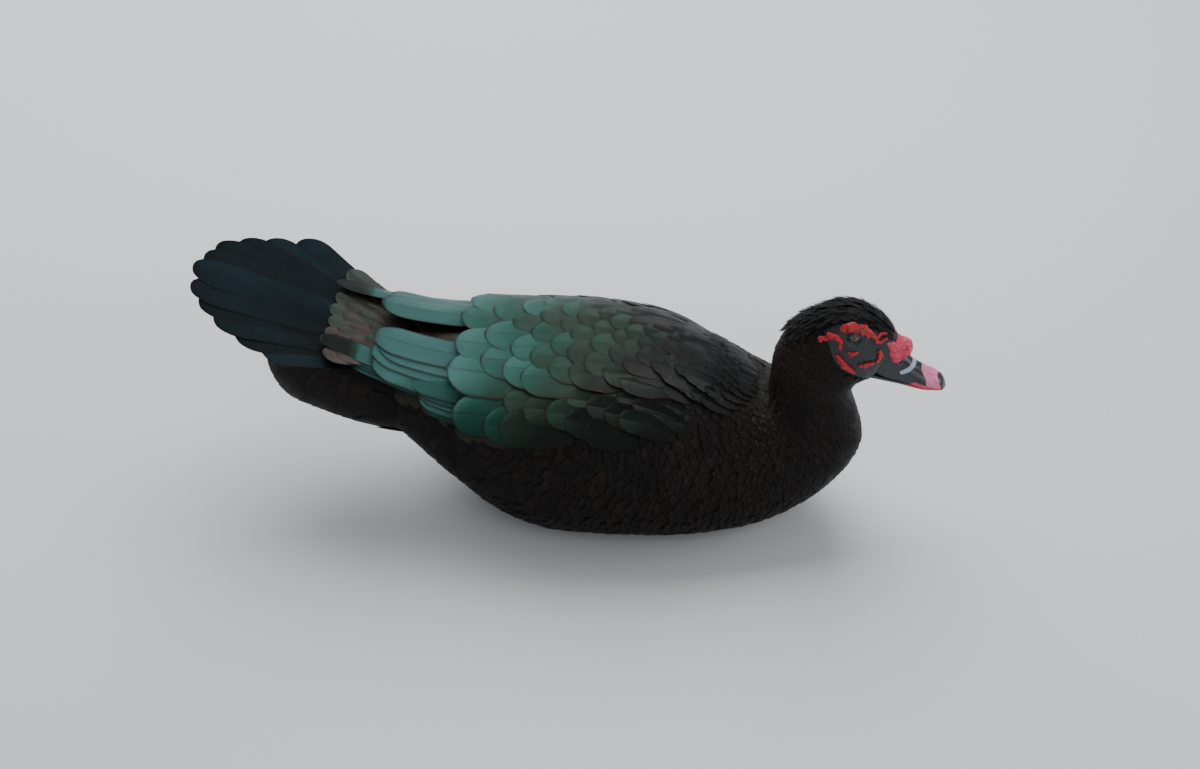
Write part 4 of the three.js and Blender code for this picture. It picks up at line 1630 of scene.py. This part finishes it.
@dataclass(frozen=True)
class Wing:
    """A folded wing: tiled coverts over secondaries, tertials and the tips of the primaries."""

    groups: tuple[FlightGroup, ...] = (
        FlightGroup("primaries", 4, (-112, -116), (60, 77), (-0.13, -0.2), (134, 106), (-5.2, -9.0), 11),
        FlightGroup("secondaries", 5, (-38, -50), (82, 111), (-0.18, -0.28), (126, 98), (-1.6, -5.8), 15),
        FlightGroup("tertials", 4, (-64, -76), (34, 70), (-0.08, -0.17), (134, 120), (-0.4, -4.0), 18),
    )
    flight_vane: Vane = Vane(20, 10, 0.6, 0.62, 0.3, 0.06, shaft=0.3 * MM)
    fold_levels: Pair = (-5, -1.4)
    edge: tuple = ((-52, 0, 60, 100, 120, 140), (114, 116, 110, 94, 78, 56))

    def rest_height(self, x: Array) -> Array:
        """Gives how far the long feathers lie under the mantle."""
        return mix(*self.fold_levels, smooth(-x, 147 * MM, 203 * MM)) * MM

    def flight(self, group: FlightGroup, draw: np.random.Generator) -> Roots:
        """Lays out one group's feathers.

        Args:
            group: The group.
            draw: Draws the small shifts.

        Returns:
            Where its feathers start.
        """
        share = np.linspace(0.0, 1.0, group.count)
        pairs = (group.x, group.arc, group.length, group.level)
        x, arc, length, level = (mix(*pair, share) * MM for pair in pairs)
        heading = mix(*group.drift, share) + draw.normal(0, 0.012, group.count)
        length = length * draw.uniform(0.97, 1.03, group.count)
        base = self.rest_height(x) + level
        tip = self.rest_height(x - length) + level
        return Roots(x, arc, length, np.full(group.count, group.half_width * MM), heading, base, tip - base)

    def build(self, material: Material, right: bool) -> Piece:
        """Makes one wing.

        Args:
            material: Its finish.
            right: Whether it is the duck's right wing.

        Returns:
            The wing.
        """
        side = "right" if right else "left"
        plumage = Plumage(f"{side.capitalize()} wing", 31 + right)
        for group in self.groups:
            log.info("%s: %d %s", plumage.name, group.count, group.name)
            plumage.lay(MANTLE, self.flight(group, plumage.random), self.flight_vane)
        tiles = Tiles()
        roots = tiles.rows(lambda x: np.interp(x, *(np.array(row) * MM for row in self.edge)), plumage.random)
        roots = roots.kept((roots.b > BackFeathers().reach(roots.a) - 5 * MM) & (roots.a < 140 * MM))
        roots.half_width *= 0.85
        roots.length *= 0.92
        tuck = 5.5 * MM * smooth(roots.a, 84 * MM, 122 * MM)
        roots.base -= mix(3.4 * MM, 1.6 * MM, smooth(roots.b, 66 * MM, 88 * MM)) + tuck
        roots.lift += 0.45 * tuck
        tiles.lay(plumage, roots, 40 * MM, Vane(10, 8, 0.5, arch=0.04, shaft=0.25 * MM))
        return dressed(plumage, material, (f"wing_{side}",), flip=right)


@dataclass(frozen=True)
class Tail:
    """The raised and spread tail, with the coverts over its root."""

    per_side: int = 5
    length: float = 218 * MM
    spread: float = math.radians(27.5)
    half_width: float = 21 * MM
    root: float = 24 * MM
    root_spread: float = 44 * MM
    outer_share: float = 0.68
    level_step: float = 1.0 * MM
    covert_rows: tuple[int, ...] = (5, 6, 7, 8)
    covert_length: float = 43 * MM
    covert_half_width: float = 12.5 * MM

    def build_fan(self, material: Material) -> Piece:
        """Makes the long tail feathers, with the far outermost one turned out by itself.

        Args:
            material: Their finish.

        Returns:
            The fan.
        """
        plumage = Plumage("Tail feathers", 41)
        draw = plumage.random
        k = np.arange(-self.per_side, self.per_side + 1)
        share = k / self.per_side
        angle = share * self.spread + draw.normal(0, 0.008, len(k))
        angle[-1] += math.radians(2.6)
        angle[:-1] -= math.radians(0.6) * (k[:-1] > 2)
        length = mix(self.length, self.length * self.outer_share, share**2) - self.root
        length = length + draw.uniform(-2, 2, len(k)) * MM
        level = -self.level_step * np.abs(k)
        roots = Roots(
            np.full(len(k), -self.root), angle * self.root_spread, length, np.full(len(k), self.half_width),
            angle, level - 0.2 * MM, np.zeros(len(k)) + draw.uniform(-0.3, 0.3, len(k)) * MM,
        )
        plumage.lay(TAIL_PLANE, roots, Vane(20, 10, 0.6, 0.5, 0.45, 0.06, shaft=0.3 * MM))
        return dressed(plumage, material, ("tail",))

    def build_coverts(self, material: Material) -> Piece:
        """Makes the rows of broad feathers over the tail's root.

        Args:
            material: Their finish.

        Returns:
            The coverts.
        """
        plumage = Plumage("Upper tail coverts", 42)
        draw = plumage.random
        groups = []
        for row, count in enumerate(self.covert_rows):
            place = np.linspace(-1.0, 1.0, count)
            back = (2 + 13.5 * row) * MM
            groups.append(
                Roots(
                    a=draw.uniform(-2, 2, count) * MM - back,
                    b=place * (27 + 5.5 * row) * MM,
                    length=self.covert_length * draw.uniform(0.93, 1.07, count),
                    half_width=np.full(count, self.covert_half_width),
                    heading=place * (0.3 + 0.05 * row) + draw.normal(0, 0.03, count),
                    base=(1.4 - 0.25 * row + 0.3 * (np.arange(count) % 2)) * MM,
                    lift=np.full(count, 2.2 * MM),
                )
            )
        plumage.lay(TAIL_PLANE, Roots.join(groups), Vane(10, 8, 0.6, arch=0.06, sag=0.05, shaft=0.2 * MM))
        return dressed(plumage, material, ("tail_coverts_upper",))


@dataclass(frozen=True)
class Crest:
    """The ruffled narrow feathers over the crown, from the forehead to the nape."""

    rows: Pair = (16.2, 20.9)
    reach: float = 14 * MM
    gap: float = 1.75 * MM
    narrowing: tuple = ((16.2, 18.0, 19.5, 20.9), (1.0, 0.92, 0.72, 0.5))
    lengths: tuple = ((16.2, 18.2, 20.9), (20, 21, 13))

    def build(self, material: Material) -> Piece:
        """Makes the crest.

        Args:
            material: Its finish.

        Returns:
            The crest.
        """
        plumage = Plumage("Crest", 51)
        draw = plumage.random
        a, b = scatter(BODY, self.rows, (-0.9, 0.9), lambda at: self.gap, draw)
        points = BODY.place(a, b, 0.0)
        keep = np.abs(points[:, 1]) < self.reach * np.interp(a, *self.narrowing)
        a, b = a[keep], b[keep]
        size = len(a)
        length = np.interp(a, *self.lengths) * MM * draw.uniform(0.7, 1.2, size)
        roots = Roots(
            a, b, length, draw.uniform(0.7, 1.25, size) * MM, draw.normal(0, 0.16, size) + 0.3 * b,
            np.full(size, -1.8 * MM), length * draw.uniform(0.14, 0.34, size) + 1.6 * MM,
        )
        plumage.lay(BODY, roots, Vane(7, 2, 0.5, 0.9, 0.1, 0.35, curl=-0.06))
        return dressed(plumage, material, ("crest",))


# The face, bill and eyes.


def fused(name: str, balls: Array, cell: float, squash: float, rounds: int) -> Piece:
    """Melts many balls into one lumpy closed skin.

    Args:
        name: The piece's name.
        balls: Middle and radius of each ball, in four columns.
        cell: Size of the cells that the balls melt into.
        squash: How thick the balls are in y, as a share.
        rounds: Rounds of smoothing.

    Returns:
        The melted piece.
    """
    work = bmesh.new()
    for x, y, z, radius in balls:
        place = Matrix.Translation((x, y, z)) @ Matrix.Diagonal((1.0, squash, 1.0, 1.0))
        bmesh.ops.create_icosphere(work, subdivisions=3, radius=radius, matrix=place)
    rough = finished(name + " balls", work, ())
    melt = rough.modifiers.new("Melt", "REMESH")
    melt.mode = "VOXEL"
    melt.voxel_size = cell
    relax = rough.modifiers.new("Relax", "SMOOTH")
    relax.iterations = rounds
    relax.factor = 0.5
    graph = bpy.context.evaluated_depsgraph_get()
    mesh = bpy.data.meshes.new_from_object(rough.evaluated_get(graph))
    mesh.name = name
    bpy.data.objects.remove(rough)
    mesh.polygons.foreach_set("use_smooth", np.ones(len(mesh.polygons), dtype=bool))
    made = bpy.data.objects.new(name, mesh)
    bpy.context.collection.objects.link(made)
    return made


def cheek_width(x: Array, z: Array) -> Array:
    """Gives the head's half width at places in side view."""
    at, angle = BODY.find(x, z, 14.0)
    return BODY.place(at, angle, 0.0)[..., 1]


@dataclass(frozen=True)
class Caruncles:
    """The lumpy red ridges of one side: x, z and radius along each ridge, in millimetres."""

    brow: tuple = (
        (238.1, 238.4, 3.4), (243.8, 240.6, 4.5), (250.5, 240.4, 4.7),
        (256.4, 237.6, 4.2), (262.2, 233, 3.6), (266, 230, 2.4),
    )
    front: tuple = (
        (268.5, 227.8, 2), (271.5, 230.4, 2.1), (276, 229, 2),
        (276.8, 224.8, 1.9), (272.4, 222.9, 1.8), (268.9, 224.6, 1.8),
    )
    rear: tuple = (
        (217.4, 225.5, 3.1), (222, 226.6, 2.3), (226, 230, 3.5),
        (232, 229.6, 3.1), (236.2, 226.6, 3), (236, 219.8, 2.1),
    )
    under_eye: tuple = ((243.2, 216.4, 1.9), (247.4, 214.6, 2.8), (251.4, 216.6, 1.9))
    cheek: tuple = (
        (233.9, 211.4, 2.3), (237.2, 206.5, 3.2), (240.7, 200.8, 3.6), (245, 196, 3.4), (249.2, 192, 2.1),
    )
    jaw: tuple = ((254.8, 200.4, 2.1), (260, 200.7, 3), (265.4, 202, 2.6))
    gape: tuple = ((271, 203.2, 2.4), (272.8, 208.8, 2.8), (272.1, 214.2, 2.1))
    lumps: int = 9
    core_share: float = 0.92
    lump_spread: float = 0.72
    lump_sizes: Pair = (0.34, 0.56)
    left_brow_drop: float = 2.0 * MM
    left_brow_scale: float = 0.72
    seed: int = 61

    def build(self, material: Material, right: bool) -> Piece:
        """Makes one side's ridges. The left brow is lower, so that it doesn't show over the crown.

        Args:
            material: Their finish.
            right: Whether they are the right side's.

        Returns:
            The ridges.
        """
        draw = np.random.default_rng(self.seed + right)
        balls = []
        for ridge in (self.brow, self.front, self.rear, self.under_eye, self.cheek, self.jaw, self.gape):
            line = np.array(ridge) * MM
            if ridge is self.brow and not right:
                line = line * (1.0, 1.0, self.left_brow_scale) - (0.0, self.left_brow_drop, 0.0)
            places = np.linspace(0, len(line) - 1, 4 * len(line) - 3)
            x, z, radius = (np.interp(places, range(len(line)), line[:, k]) for k in range(3))
            balls += list(zip(x, z, radius * self.core_share, np.full(len(x), -0.1)))
            for x, z, radius in line:
                for _ in range(self.lumps):
                    turn = draw.uniform(0, 2 * math.pi)
                    out = radius * self.lump_spread * math.sqrt(draw.random())
                    size = radius * draw.uniform(*self.lump_sizes)
                    over = 1.25 * (1 - (out / radius) ** 2)
                    balls.append((x + out * math.cos(turn), z + out * math.sin(turn), size, over))
        x, z, size, over = np.array(balls).T
        y = cheek_width(x, z) + over * size + 0.2 * MM
        side = -1.0 if right else 1.0
        word = "right" if right else "left"
        balls = np.stack([x, side * y, z, size], axis=-1)
        piece = fused(f"{word.capitalize()} caruncles", balls, 0.45 * MM, 0.85, 6)
        piece.data.materials.append(material)
        return tied(piece, (f"caruncles_{word}",))


@dataclass(frozen=True)
class Knob:
    """The fleshy knob at the base of the bill."""

    centre: Place = (291 * MM, 0.0, 206 * MM)
    radius: float = 11 * MM
    lobes: tuple = ((-7, 6, 1, 8), (-4, 8, -6, 6), (-10, 8, 8, 5.2), (-13.5, 10.5, 11, 3.6))
    warts: int = 34
    wart_sizes: Pair = (1.0, 2.4)
    seed: int = 71

    def build(self, material: Material) -> Piece:
        """Makes the knob from a main ball, two lobes behind it and small warts.

        Args:
            material: Its finish.

        Returns:
            The knob.
        """
        draw = np.random.default_rng(self.seed)
        x, y, z = self.centre
        balls = [(x, y, z, self.radius * 0.97), (x - 6 * MM, 0, z + 6 * MM, 8 * MM)]
        for side in (-1, 1):
            for forward, out, up, radius in np.array(self.lobes) * MM:
                balls.append((x + forward, side * out, z + up, radius))
        for _ in range(self.warts):
            way = draw.normal(0, 1, 3)
            way /= np.linalg.norm(way)
            size = draw.uniform(*self.wart_sizes) * MM
            out = self.radius * 1.02 - size * 0.8
            balls.append((x + way[0] * out, way[1] * out, z + way[2] * out, size))
        piece = fused("Knob", np.array(balls), 0.6 * MM, 0.95, 8)
        piece.data.materials.append(material)
        return tied(piece, ("bill_knob",))


UPPER_BILL = Ladder((
    (283.5, 216, 263, 181.5, 14.5, 0.2, 2.2),
    (291, 203, 276, 177.5, 14, 0.12, 2.2),
    (302, 191.5, 293, 173.5, 12.5, 0.1, 2.3),
    (313, 184, 307, 169.5, 12.5, 0.1, 2.4),
    (322, 179.5, 319, 166.5, 12.5, 0.12, 2.4),
    (328, 175.5, 328, 164, 10, 0.2, 2.2),
    (332, 170, 332.5, 163, 4.5, 0.4, 2),
))
LOWER_BILL = Ladder((
    (263, 180.9, 264, 171.5, 12.5, 0.75, 2.2),
    (276, 176.9, 276, 169.5, 11.5, 0.8, 2.3),
    (293, 172.9, 292, 166.5, 10.5, 0.85, 2.4),
    (307, 168.9, 306, 163.5, 10.5, 0.85, 2.4),
    (318, 166.1, 317, 161.5, 9, 0.8, 2.3),
    (325, 164, 324.5, 161.3, 5, 0.6, 2),
))


def line_distance(x: Array, z: Array, line: Sequence[Pair]) -> Array:
    """Gives how far places are from a line of corners in side view, in millimetres.

    Args:
        x: Places along the duck.
        z: Their heights.
        line: The corners, in millimetres.

    Returns:
        The distances, in metres.
    """
    best = np.full(x.shape, np.inf)
    corners = np.array(line) * MM
    for (x1, z1), (x2, z2) in zip(corners[:-1], corners[1:]):
        run_x, run_z = x2 - x1, z2 - z1
        share = np.clip(((x - x1) * run_x + (z - z1) * run_z) / (run_x**2 + run_z**2), 0.0, 1.0)
        best = np.minimum(best, np.hypot(x - x1 - share * run_x, z - z1 - share * run_z))
    return best


@dataclass(frozen=True)
class Bill:
    """The upper and lower bill and the hooked nail."""

    nostril: Pair = (289.5 * MM, 196 * MM)
    hook: tuple = ((296.5, 201), (302.1, 197.9), (306, 195), (303.9, 190.6), (299.2, 187.2), (293.3, 185.2))
    hook_half_width: float = 2.1 * MM
    pink_start: tuple = ((160, 318), (178, 315.5), (185, 310.4), (192, 310.4), (200, 312))
    edge_line: tuple = ((305, 171.3), (314, 168.5), (327, 165))
    edge_half_width: float = 3.6 * MM
    nail_centre: Place = (334 * MM, 0.0, 169 * MM)
    nail_size: Place = (12 * MM, 9 * MM, 12 * MM)
    nail_row: float = 3.2
    nail_front: float = 331 * MM
    nail_thickness: float = 0.8 * MM
    tip_height: float = 166.5 * MM

    def half(self, name: str, ladder: Ladder, material: Material) -> Piece:
        """Makes the upper or the lower bill.

        Args:
            name: The piece's name.
            ladder: Its rungs.
            material: Its finish.

        Returns:
            The untied piece.
        """
        def surface(share: Array, around: Array) -> Array:
            """Gives points on this half for shares along and round it."""
            points = ladder.place(share * ladder.last, around * 2 * math.pi, 0.0)
            return self.rounded(self.pierce(points), share) if ladder is UPPER_BILL else points

        work = laid(150, 120, surface)
        close_tube(work)
        piece = finished(name, work, (material,))
        self.mark(piece.data)
        return piece

    def mark(self, mesh: bpy.types.Mesh) -> None:
        """Keeps how much of each marking a place has: the pale hook, the pink end and the crimson edge.

        Args:
            mesh: The bill's mesh.
        """
        points = np.empty(len(mesh.vertices) * 3)
        mesh.vertices.foreach_get("co", points)
        x, _, z = points.reshape(-1, 3).T
        pink_z, pink_x = np.array(self.pink_start).T * MM
        soft = 0.7 * MM
        hook = smooth(self.hook_half_width - line_distance(x, z, self.hook), -soft, soft)
        pink = smooth(x - np.interp(z, pink_z, pink_x), -soft, soft)
        edge = smooth(self.edge_half_width - line_distance(x, z, self.edge_line), -soft, soft)
        for name, values in (("band", hook), ("pink", pink), ("edge", edge)):
            keep_number(mesh, name, values)

    def pierce(self, points: Array) -> Array:
        """Sinks the nostrils and raises a low rim round each.

        Args:
            points: Places in rows of three.

        Returns:
            The moved places.
        """
        x, y, z = points.T
        along = ((x - self.nostril[0]) * 0.8 - (z - self.nostril[1]) * 0.6) / (3.6 * MM)
        across = ((x - self.nostril[0]) * 0.6 + (z - self.nostril[1]) * 0.8) / (2.0 * MM)
        out = np.hypot(along, across)
        pit = 2.6 * MM * (1 - smooth(out, 0.35, 1.0)) - 0.5 * MM * np.exp(-(((out - 1.3) / 0.35) ** 2))
        moved = points.copy()
        moved[:, 1] -= np.sign(y) * (np.abs(y) > 2 * MM) * pit
        return moved

    def rounded(self, points: Array, share: Array) -> Array:
        """Rounds off the bill's very end.

        Args:
            points: Places in rows of three.
            share: Shares along the bill.

        Returns:
            The moved places.
        """
        left = np.sqrt(1 - 0.86 * np.clip((share - 0.92) / 0.08, 0.0, 1.0) ** 2)
        z = self.tip_height + (points[..., 2] - self.tip_height) * left
        return np.stack([points[..., 0], points[..., 1] * left, z], axis=-1)

    def nail_surface(self, at: Array, angle: Array) -> Array:
        """Gives points just over the upper bill, drawn out a little at the tip.

        Args:
            at: Rung indices.
            angle: Angles from the upper line.

        Returns:
            Points in rows of three.
        """
        share = at / UPPER_BILL.last
        point = UPPER_BILL.place(at, angle, 0.5 * MM)
        point[..., 0] += 1.3 * MM * share**8
        return self.rounded(point, share)

    def nail(self, material: Material) -> Piece:
        """Makes the nail over the upper bill's tip, with a rounded rear edge.

        Args:
            material: Its finish.

        Returns:
            The untied nail.
        """
        work = laid(48, 80, self.nail_grid)
        close_tube(work, open_below=self.nail_front)
        thicken(work, self.nail_thickness)
        return finished("Bill nail", work, (material,))

    def nail_grid(self, share: Array, around: Array) -> Array:
        """Gives points on the nail, from where it leaves the bill to its tip.

        Args:
            share: Shares along the nail, from its rear edge.
            around: Shares round it.

        Returns:
            Points in rows of three.
        """
        angle = around * 2 * math.pi
        low, high = np.full(len(angle), self.nail_row), np.full(len(angle), UPPER_BILL.last)
        for _ in range(30):
            middle = 0.5 * (low + high)
            off = (self.nail_surface(middle, angle) - self.nail_centre) / self.nail_size
            outside = np.sum(off**2, axis=-1) > 1.0
            low, high = np.where(outside, middle, low), np.where(outside, high, middle)
        return self.nail_surface(mix(low, UPPER_BILL.last, share), angle)

    def build(self, upper: Material, lower: Material, nail: Material) -> list[Piece]:
        """Makes the bill's three pieces."""
        return [
            tied(self.half("Upper bill", UPPER_BILL, upper), ("bill_upper",)),
            tied(self.half("Lower bill", LOWER_BILL, lower), ("bill_lower",)),
            tied(self.nail(nail), ("bill_nail",)),
        ]


@dataclass(frozen=True)
class Eye:
    """One eye, with a wrinkled lid round it."""

    radius: float = 6 * MM
    flatness: float = 0.75
    opening: Place = (5.4 * MM, 2.6 * MM, 3.3 * MM)
    lid_reach: float = 4.6 * MM
    lid_thickness: float = 0.5 * MM
    turn: float = math.radians(8)

    def ball(self, material: Material, side: int) -> Piece:
        """Makes the eyeball, with the clear front's bulge.

        Args:
            material: Its finish.
            side: 1 for the left eye, -1 for the right.

        Returns:
            The untied ball.
        """
        work = bmesh.new()
        bmesh.ops.create_uvsphere(work, u_segments=48, v_segments=32, radius=self.radius)
        for vert in work.verts:
            x, y, z = vert.co
            bulge = 0.35 * MM * math.exp(-((x * x + z * z) / (3.2 * MM) ** 2)) * (1 if y * side > 0 else 0)
            out = y * self.flatness + side * (EYE_CENTRE[1] + bulge)
            vert.co = Vector((x + EYE_CENTRE[0], out, z + EYE_CENTRE[2]))
        return finished("Left eye" if side > 0 else "Right eye", work, (material,))

    def lid(self, material: Material, side: int) -> Piece:
        """Makes the lids as one ring from inside the rim out to the skin.

        Args:
            material: Its finish.
            side: 1 for the left eye, -1 for the right.

        Returns:
            The untied lids.
        """
        work = laid(13, 72, lambda share, around: self.lid_surface(share, around, side))
        bmesh.ops.remove_doubles(work, verts=work.verts, dist=SEAM)
        thicken(work, self.lid_thickness)
        return finished("Left eyelids" if side > 0 else "Right eyelids", work, (material,))

    def lid_surface(self, share: Array, around: Array, side: int) -> Array:
        """Gives points on the lids, which rise over the ball and end under the skin.

        Args:
            share: Shares from inside the rim out to the skin.
            around: Shares round the eye.
            side: 1 for the left eye, -1 for the right.

        Returns:
            Points in rows of three.
        """
        turn = around * 2 * math.pi
        wide = self.opening[0] + share * self.lid_reach
        tall = np.where(np.sin(turn) > 0, self.opening[1], self.opening[2])
        tall = tall + share * (self.lid_reach + 1.5 * MM)
        across, up = wide * np.cos(turn), tall * np.sin(turn)
        x = EYE_CENTRE[0] + across * math.cos(self.turn) - up * math.sin(self.turn)
        z = EYE_CENTRE[2] + across * math.sin(self.turn) + up * math.cos(self.turn)
        reach = np.minimum(np.hypot(across, up) / self.radius, 0.98)
        ball = EYE_CENTRE[1] + self.radius * self.flatness * np.sqrt(1 - reach**2)
        skin = cheek_width(x, z) - mix(0.4, 1.8, share) * MM
        rim = 0.75 * MM * np.sin(math.pi * np.clip(share * 2.4, 0, 1))
        wrinkles = 0.22 * MM * np.cos(share * 17 + np.sin(3 * turn))
        wrinkles = wrinkles * smooth(share, 0.25, 0.45) * (1 - smooth(share, 0.8, 1.0))
        y = mix(ball, skin, smooth(share, 0.12, 0.75)) + rim + wrinkles
        y = np.maximum(y, ball + np.where(reach < 0.98, 0.4, 0.0) * MM)
        y = np.where(share == 0, ball - 0.9 * MM, y)
        return np.stack([x, side * y, z], axis=-1)

    def build(self, eye: Material, lid: Material) -> list[Piece]:
        """Makes both eyes and their lids.

        Args:
            eye: The eyeballs' finish.
            lid: The lids' finish.

        Returns:
            The four pieces.
        """
        made = []
        for side, word in ((1, "left"), (-1, "right")):
            made.append(tied(self.ball(eye, side), (f"eye_{word}",)))
            made.append(tied(self.lid(lid, side), (f"eye_{word}",)))
        return made


# The studio.


@dataclass(frozen=True)
class Studio:
    """A pale floor, soft overcast light and the camera of the photo."""

    right: Place = (0.990, 0.139, 0.0)
    up: Place = (-0.0895, 0.6365, 0.766)
    back: Place = (0.1065, -0.758, 0.6426)
    across: float = 9.6 * MM
    above: float = 96.5 * MM
    distance: float = 4.0
    lens: float = 124.7
    lights: tuple[tuple[str, Place, float, float], ...] = (
        ("Sky light", (-0.35, 1.0, 1.6), 2.0, 58),
        ("Fill light", (0.9, -1.7, 1.3), 1.8, 18),
        ("Front light", (1.9, 0.3, 0.9), 1.0, 9),
    )
    sky_colour: Colour = (0.8, 0.88, 1.0)
    sky_strength: float = 0.4
    aim_height: float = 0.12
    floor_half_size: float = 60.0

    def build(self) -> None:
        """Sets out the floor, lights and camera."""
        right, up, back = (Vector(axis).normalized() for axis in (self.right, self.up, self.back))
        target = right * self.across + up * self.above
        camera_data = bpy.data.cameras.new("Camera")
        camera_data.lens = self.lens
        camera = bpy.data.objects.new("Camera", camera_data)
        turn = Matrix((right, up, back)).transposed().to_4x4()
        camera.matrix_world = Matrix.Translation(target + back * self.distance) @ turn
        bpy.context.collection.objects.link(camera)
        bpy.context.scene.camera = camera
        self.floor()
        for name, place, size, power in self.lights:
            self.light(name, place, size, power)
        world = bpy.data.worlds.new("Sky")
        world.use_nodes = True
        sky = world.node_tree.nodes["Background"].inputs
        sky["Color"].default_value = (*self.sky_colour, 1.0)
        sky["Strength"].default_value = self.sky_strength
        bpy.context.scene.world = world

    def floor(self) -> None:
        """Lays the plain floor."""
        work = bmesh.new()
        bmesh.ops.create_grid(work, x_segments=1, y_segments=1, size=self.floor_half_size)
        board = Board("Floor")
        board.set(Base_Color=(0.62, 0.63, 0.63), Roughness=0.7)
        floor = finished("Floor", work, (board.material,))

    def light(self, name: str, place: Place, size: float, power: float) -> None:
        """Hangs a large soft light that faces the duck.

        Args:
            name: The light's name.
            place: Where it hangs.
            size: Its side.
            power: Its watts.
        """
        data = bpy.data.lights.new(name, "AREA")
        data.size = size
        data.energy = power
        lamp = bpy.data.objects.new(name, data)
        lamp.location = place
        lamp.rotation_mode = "QUATERNION"
        lamp.rotation_quaternion = (Vector(place) - Vector((0, 0, self.aim_height))).to_track_quat("Z", "Y")
        bpy.context.collection.objects.link(lamp)


def dress_feet(material: Material) -> None:
    """Gives the solid feet their finish."""
    for name in ("foot_left", "foot_right"):
        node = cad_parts[name]
        node.data.materials.clear()
        node.data.materials.append(material)


def main() -> None:
    """Builds every sub-assembly in order."""
    logging.basicConfig(level=logging.INFO, format="%(message)s")
    body = PlumageFinish("Body plumage", Zone.BODY, 0.5, 0.1, specular=0.13).build()
    under = PlumageFinish("Plumage base", Zone.BODY, 0.6, 0.1, has_vanes=False).build()
    back = PlumageFinish("Lustrous plumage", Zone.BACK, 0.38, 0.45, 0.08, 0.2).build()
    tail = PlumageFinish("Tail plumage", Zone.TAIL, 0.5, 0.1, specular=0.06).build()
    coverts = PlumageFinish("Covert plumage", Zone.COVERTS, 0.4, 0.35, specular=0.3).build()
    crest = PlumageFinish("Crest plumage", Zone.CREST, 0.5, 0.1).build()
    face = SkinFinish("Face skin", (0.003, 0.005, 0.006), (0.012, 0.018, 0.022), 0.46, 900, 0.0003).build()
    lids = SkinFinish("Eyelids", (0.004, 0.005, 0.007), (0.024, 0.03, 0.038), 0.42, 1100, 0.0002).build()
    red = SkinFinish(
        "Red skin", (0.13, 0.0003, 0.002), (0.42, 0.001, 0.009), 0.46, 600, 0.0002, coat=0.1
    ).build()
    knob = SkinFinish(
        "Knob skin", (0.32, 0.004, 0.022), (0.62, 0.045, 0.1), 0.42, 500, 0.0002, speckle=0.3, coat=0.15
    ).build()
    nail = SkinFinish(
        "Nail horn", (0.006, 0.006, 0.007), (0.024, 0.02, 0.02), 0.3, 300, 0.0001, coat=0.4
    ).build()
    feet = SkinFinish("Foot skin", (0.006, 0.006, 0.006), (0.03, 0.026, 0.022), 0.5, 420, 0.0005).build()
    eye = EyeFinish("Eye", EYE_CENTRE, 4.7 * MM, 2.0 * MM).build()
    skin = Skin()
    tied(skin.build(under, face), ("torso", "neck", "head"))
    BodyCoat(skin).build(body, coverts)
    Padding().build(under)
    UndertailFeathers().build(body, under)
    BackFeathers().build(back)
    Wing().build(back, right=False)
    Wing().build(back, right=True)
    Tail().build_fan(tail)
    Tail().build_coverts(coverts)
    Crest().build(crest)
    Caruncles().build(red, right=False)
    Caruncles().build(red, right=True)
    Knob().build(knob)
    Bill().build(BillFinish("Bill horn").build(), BillFinish("Bill edge", lower=True).build(), nail)
    Eye().build(eye, lids)
    dress_feet(feet)
    Studio().build()


if __name__ == "__main__":
    main()
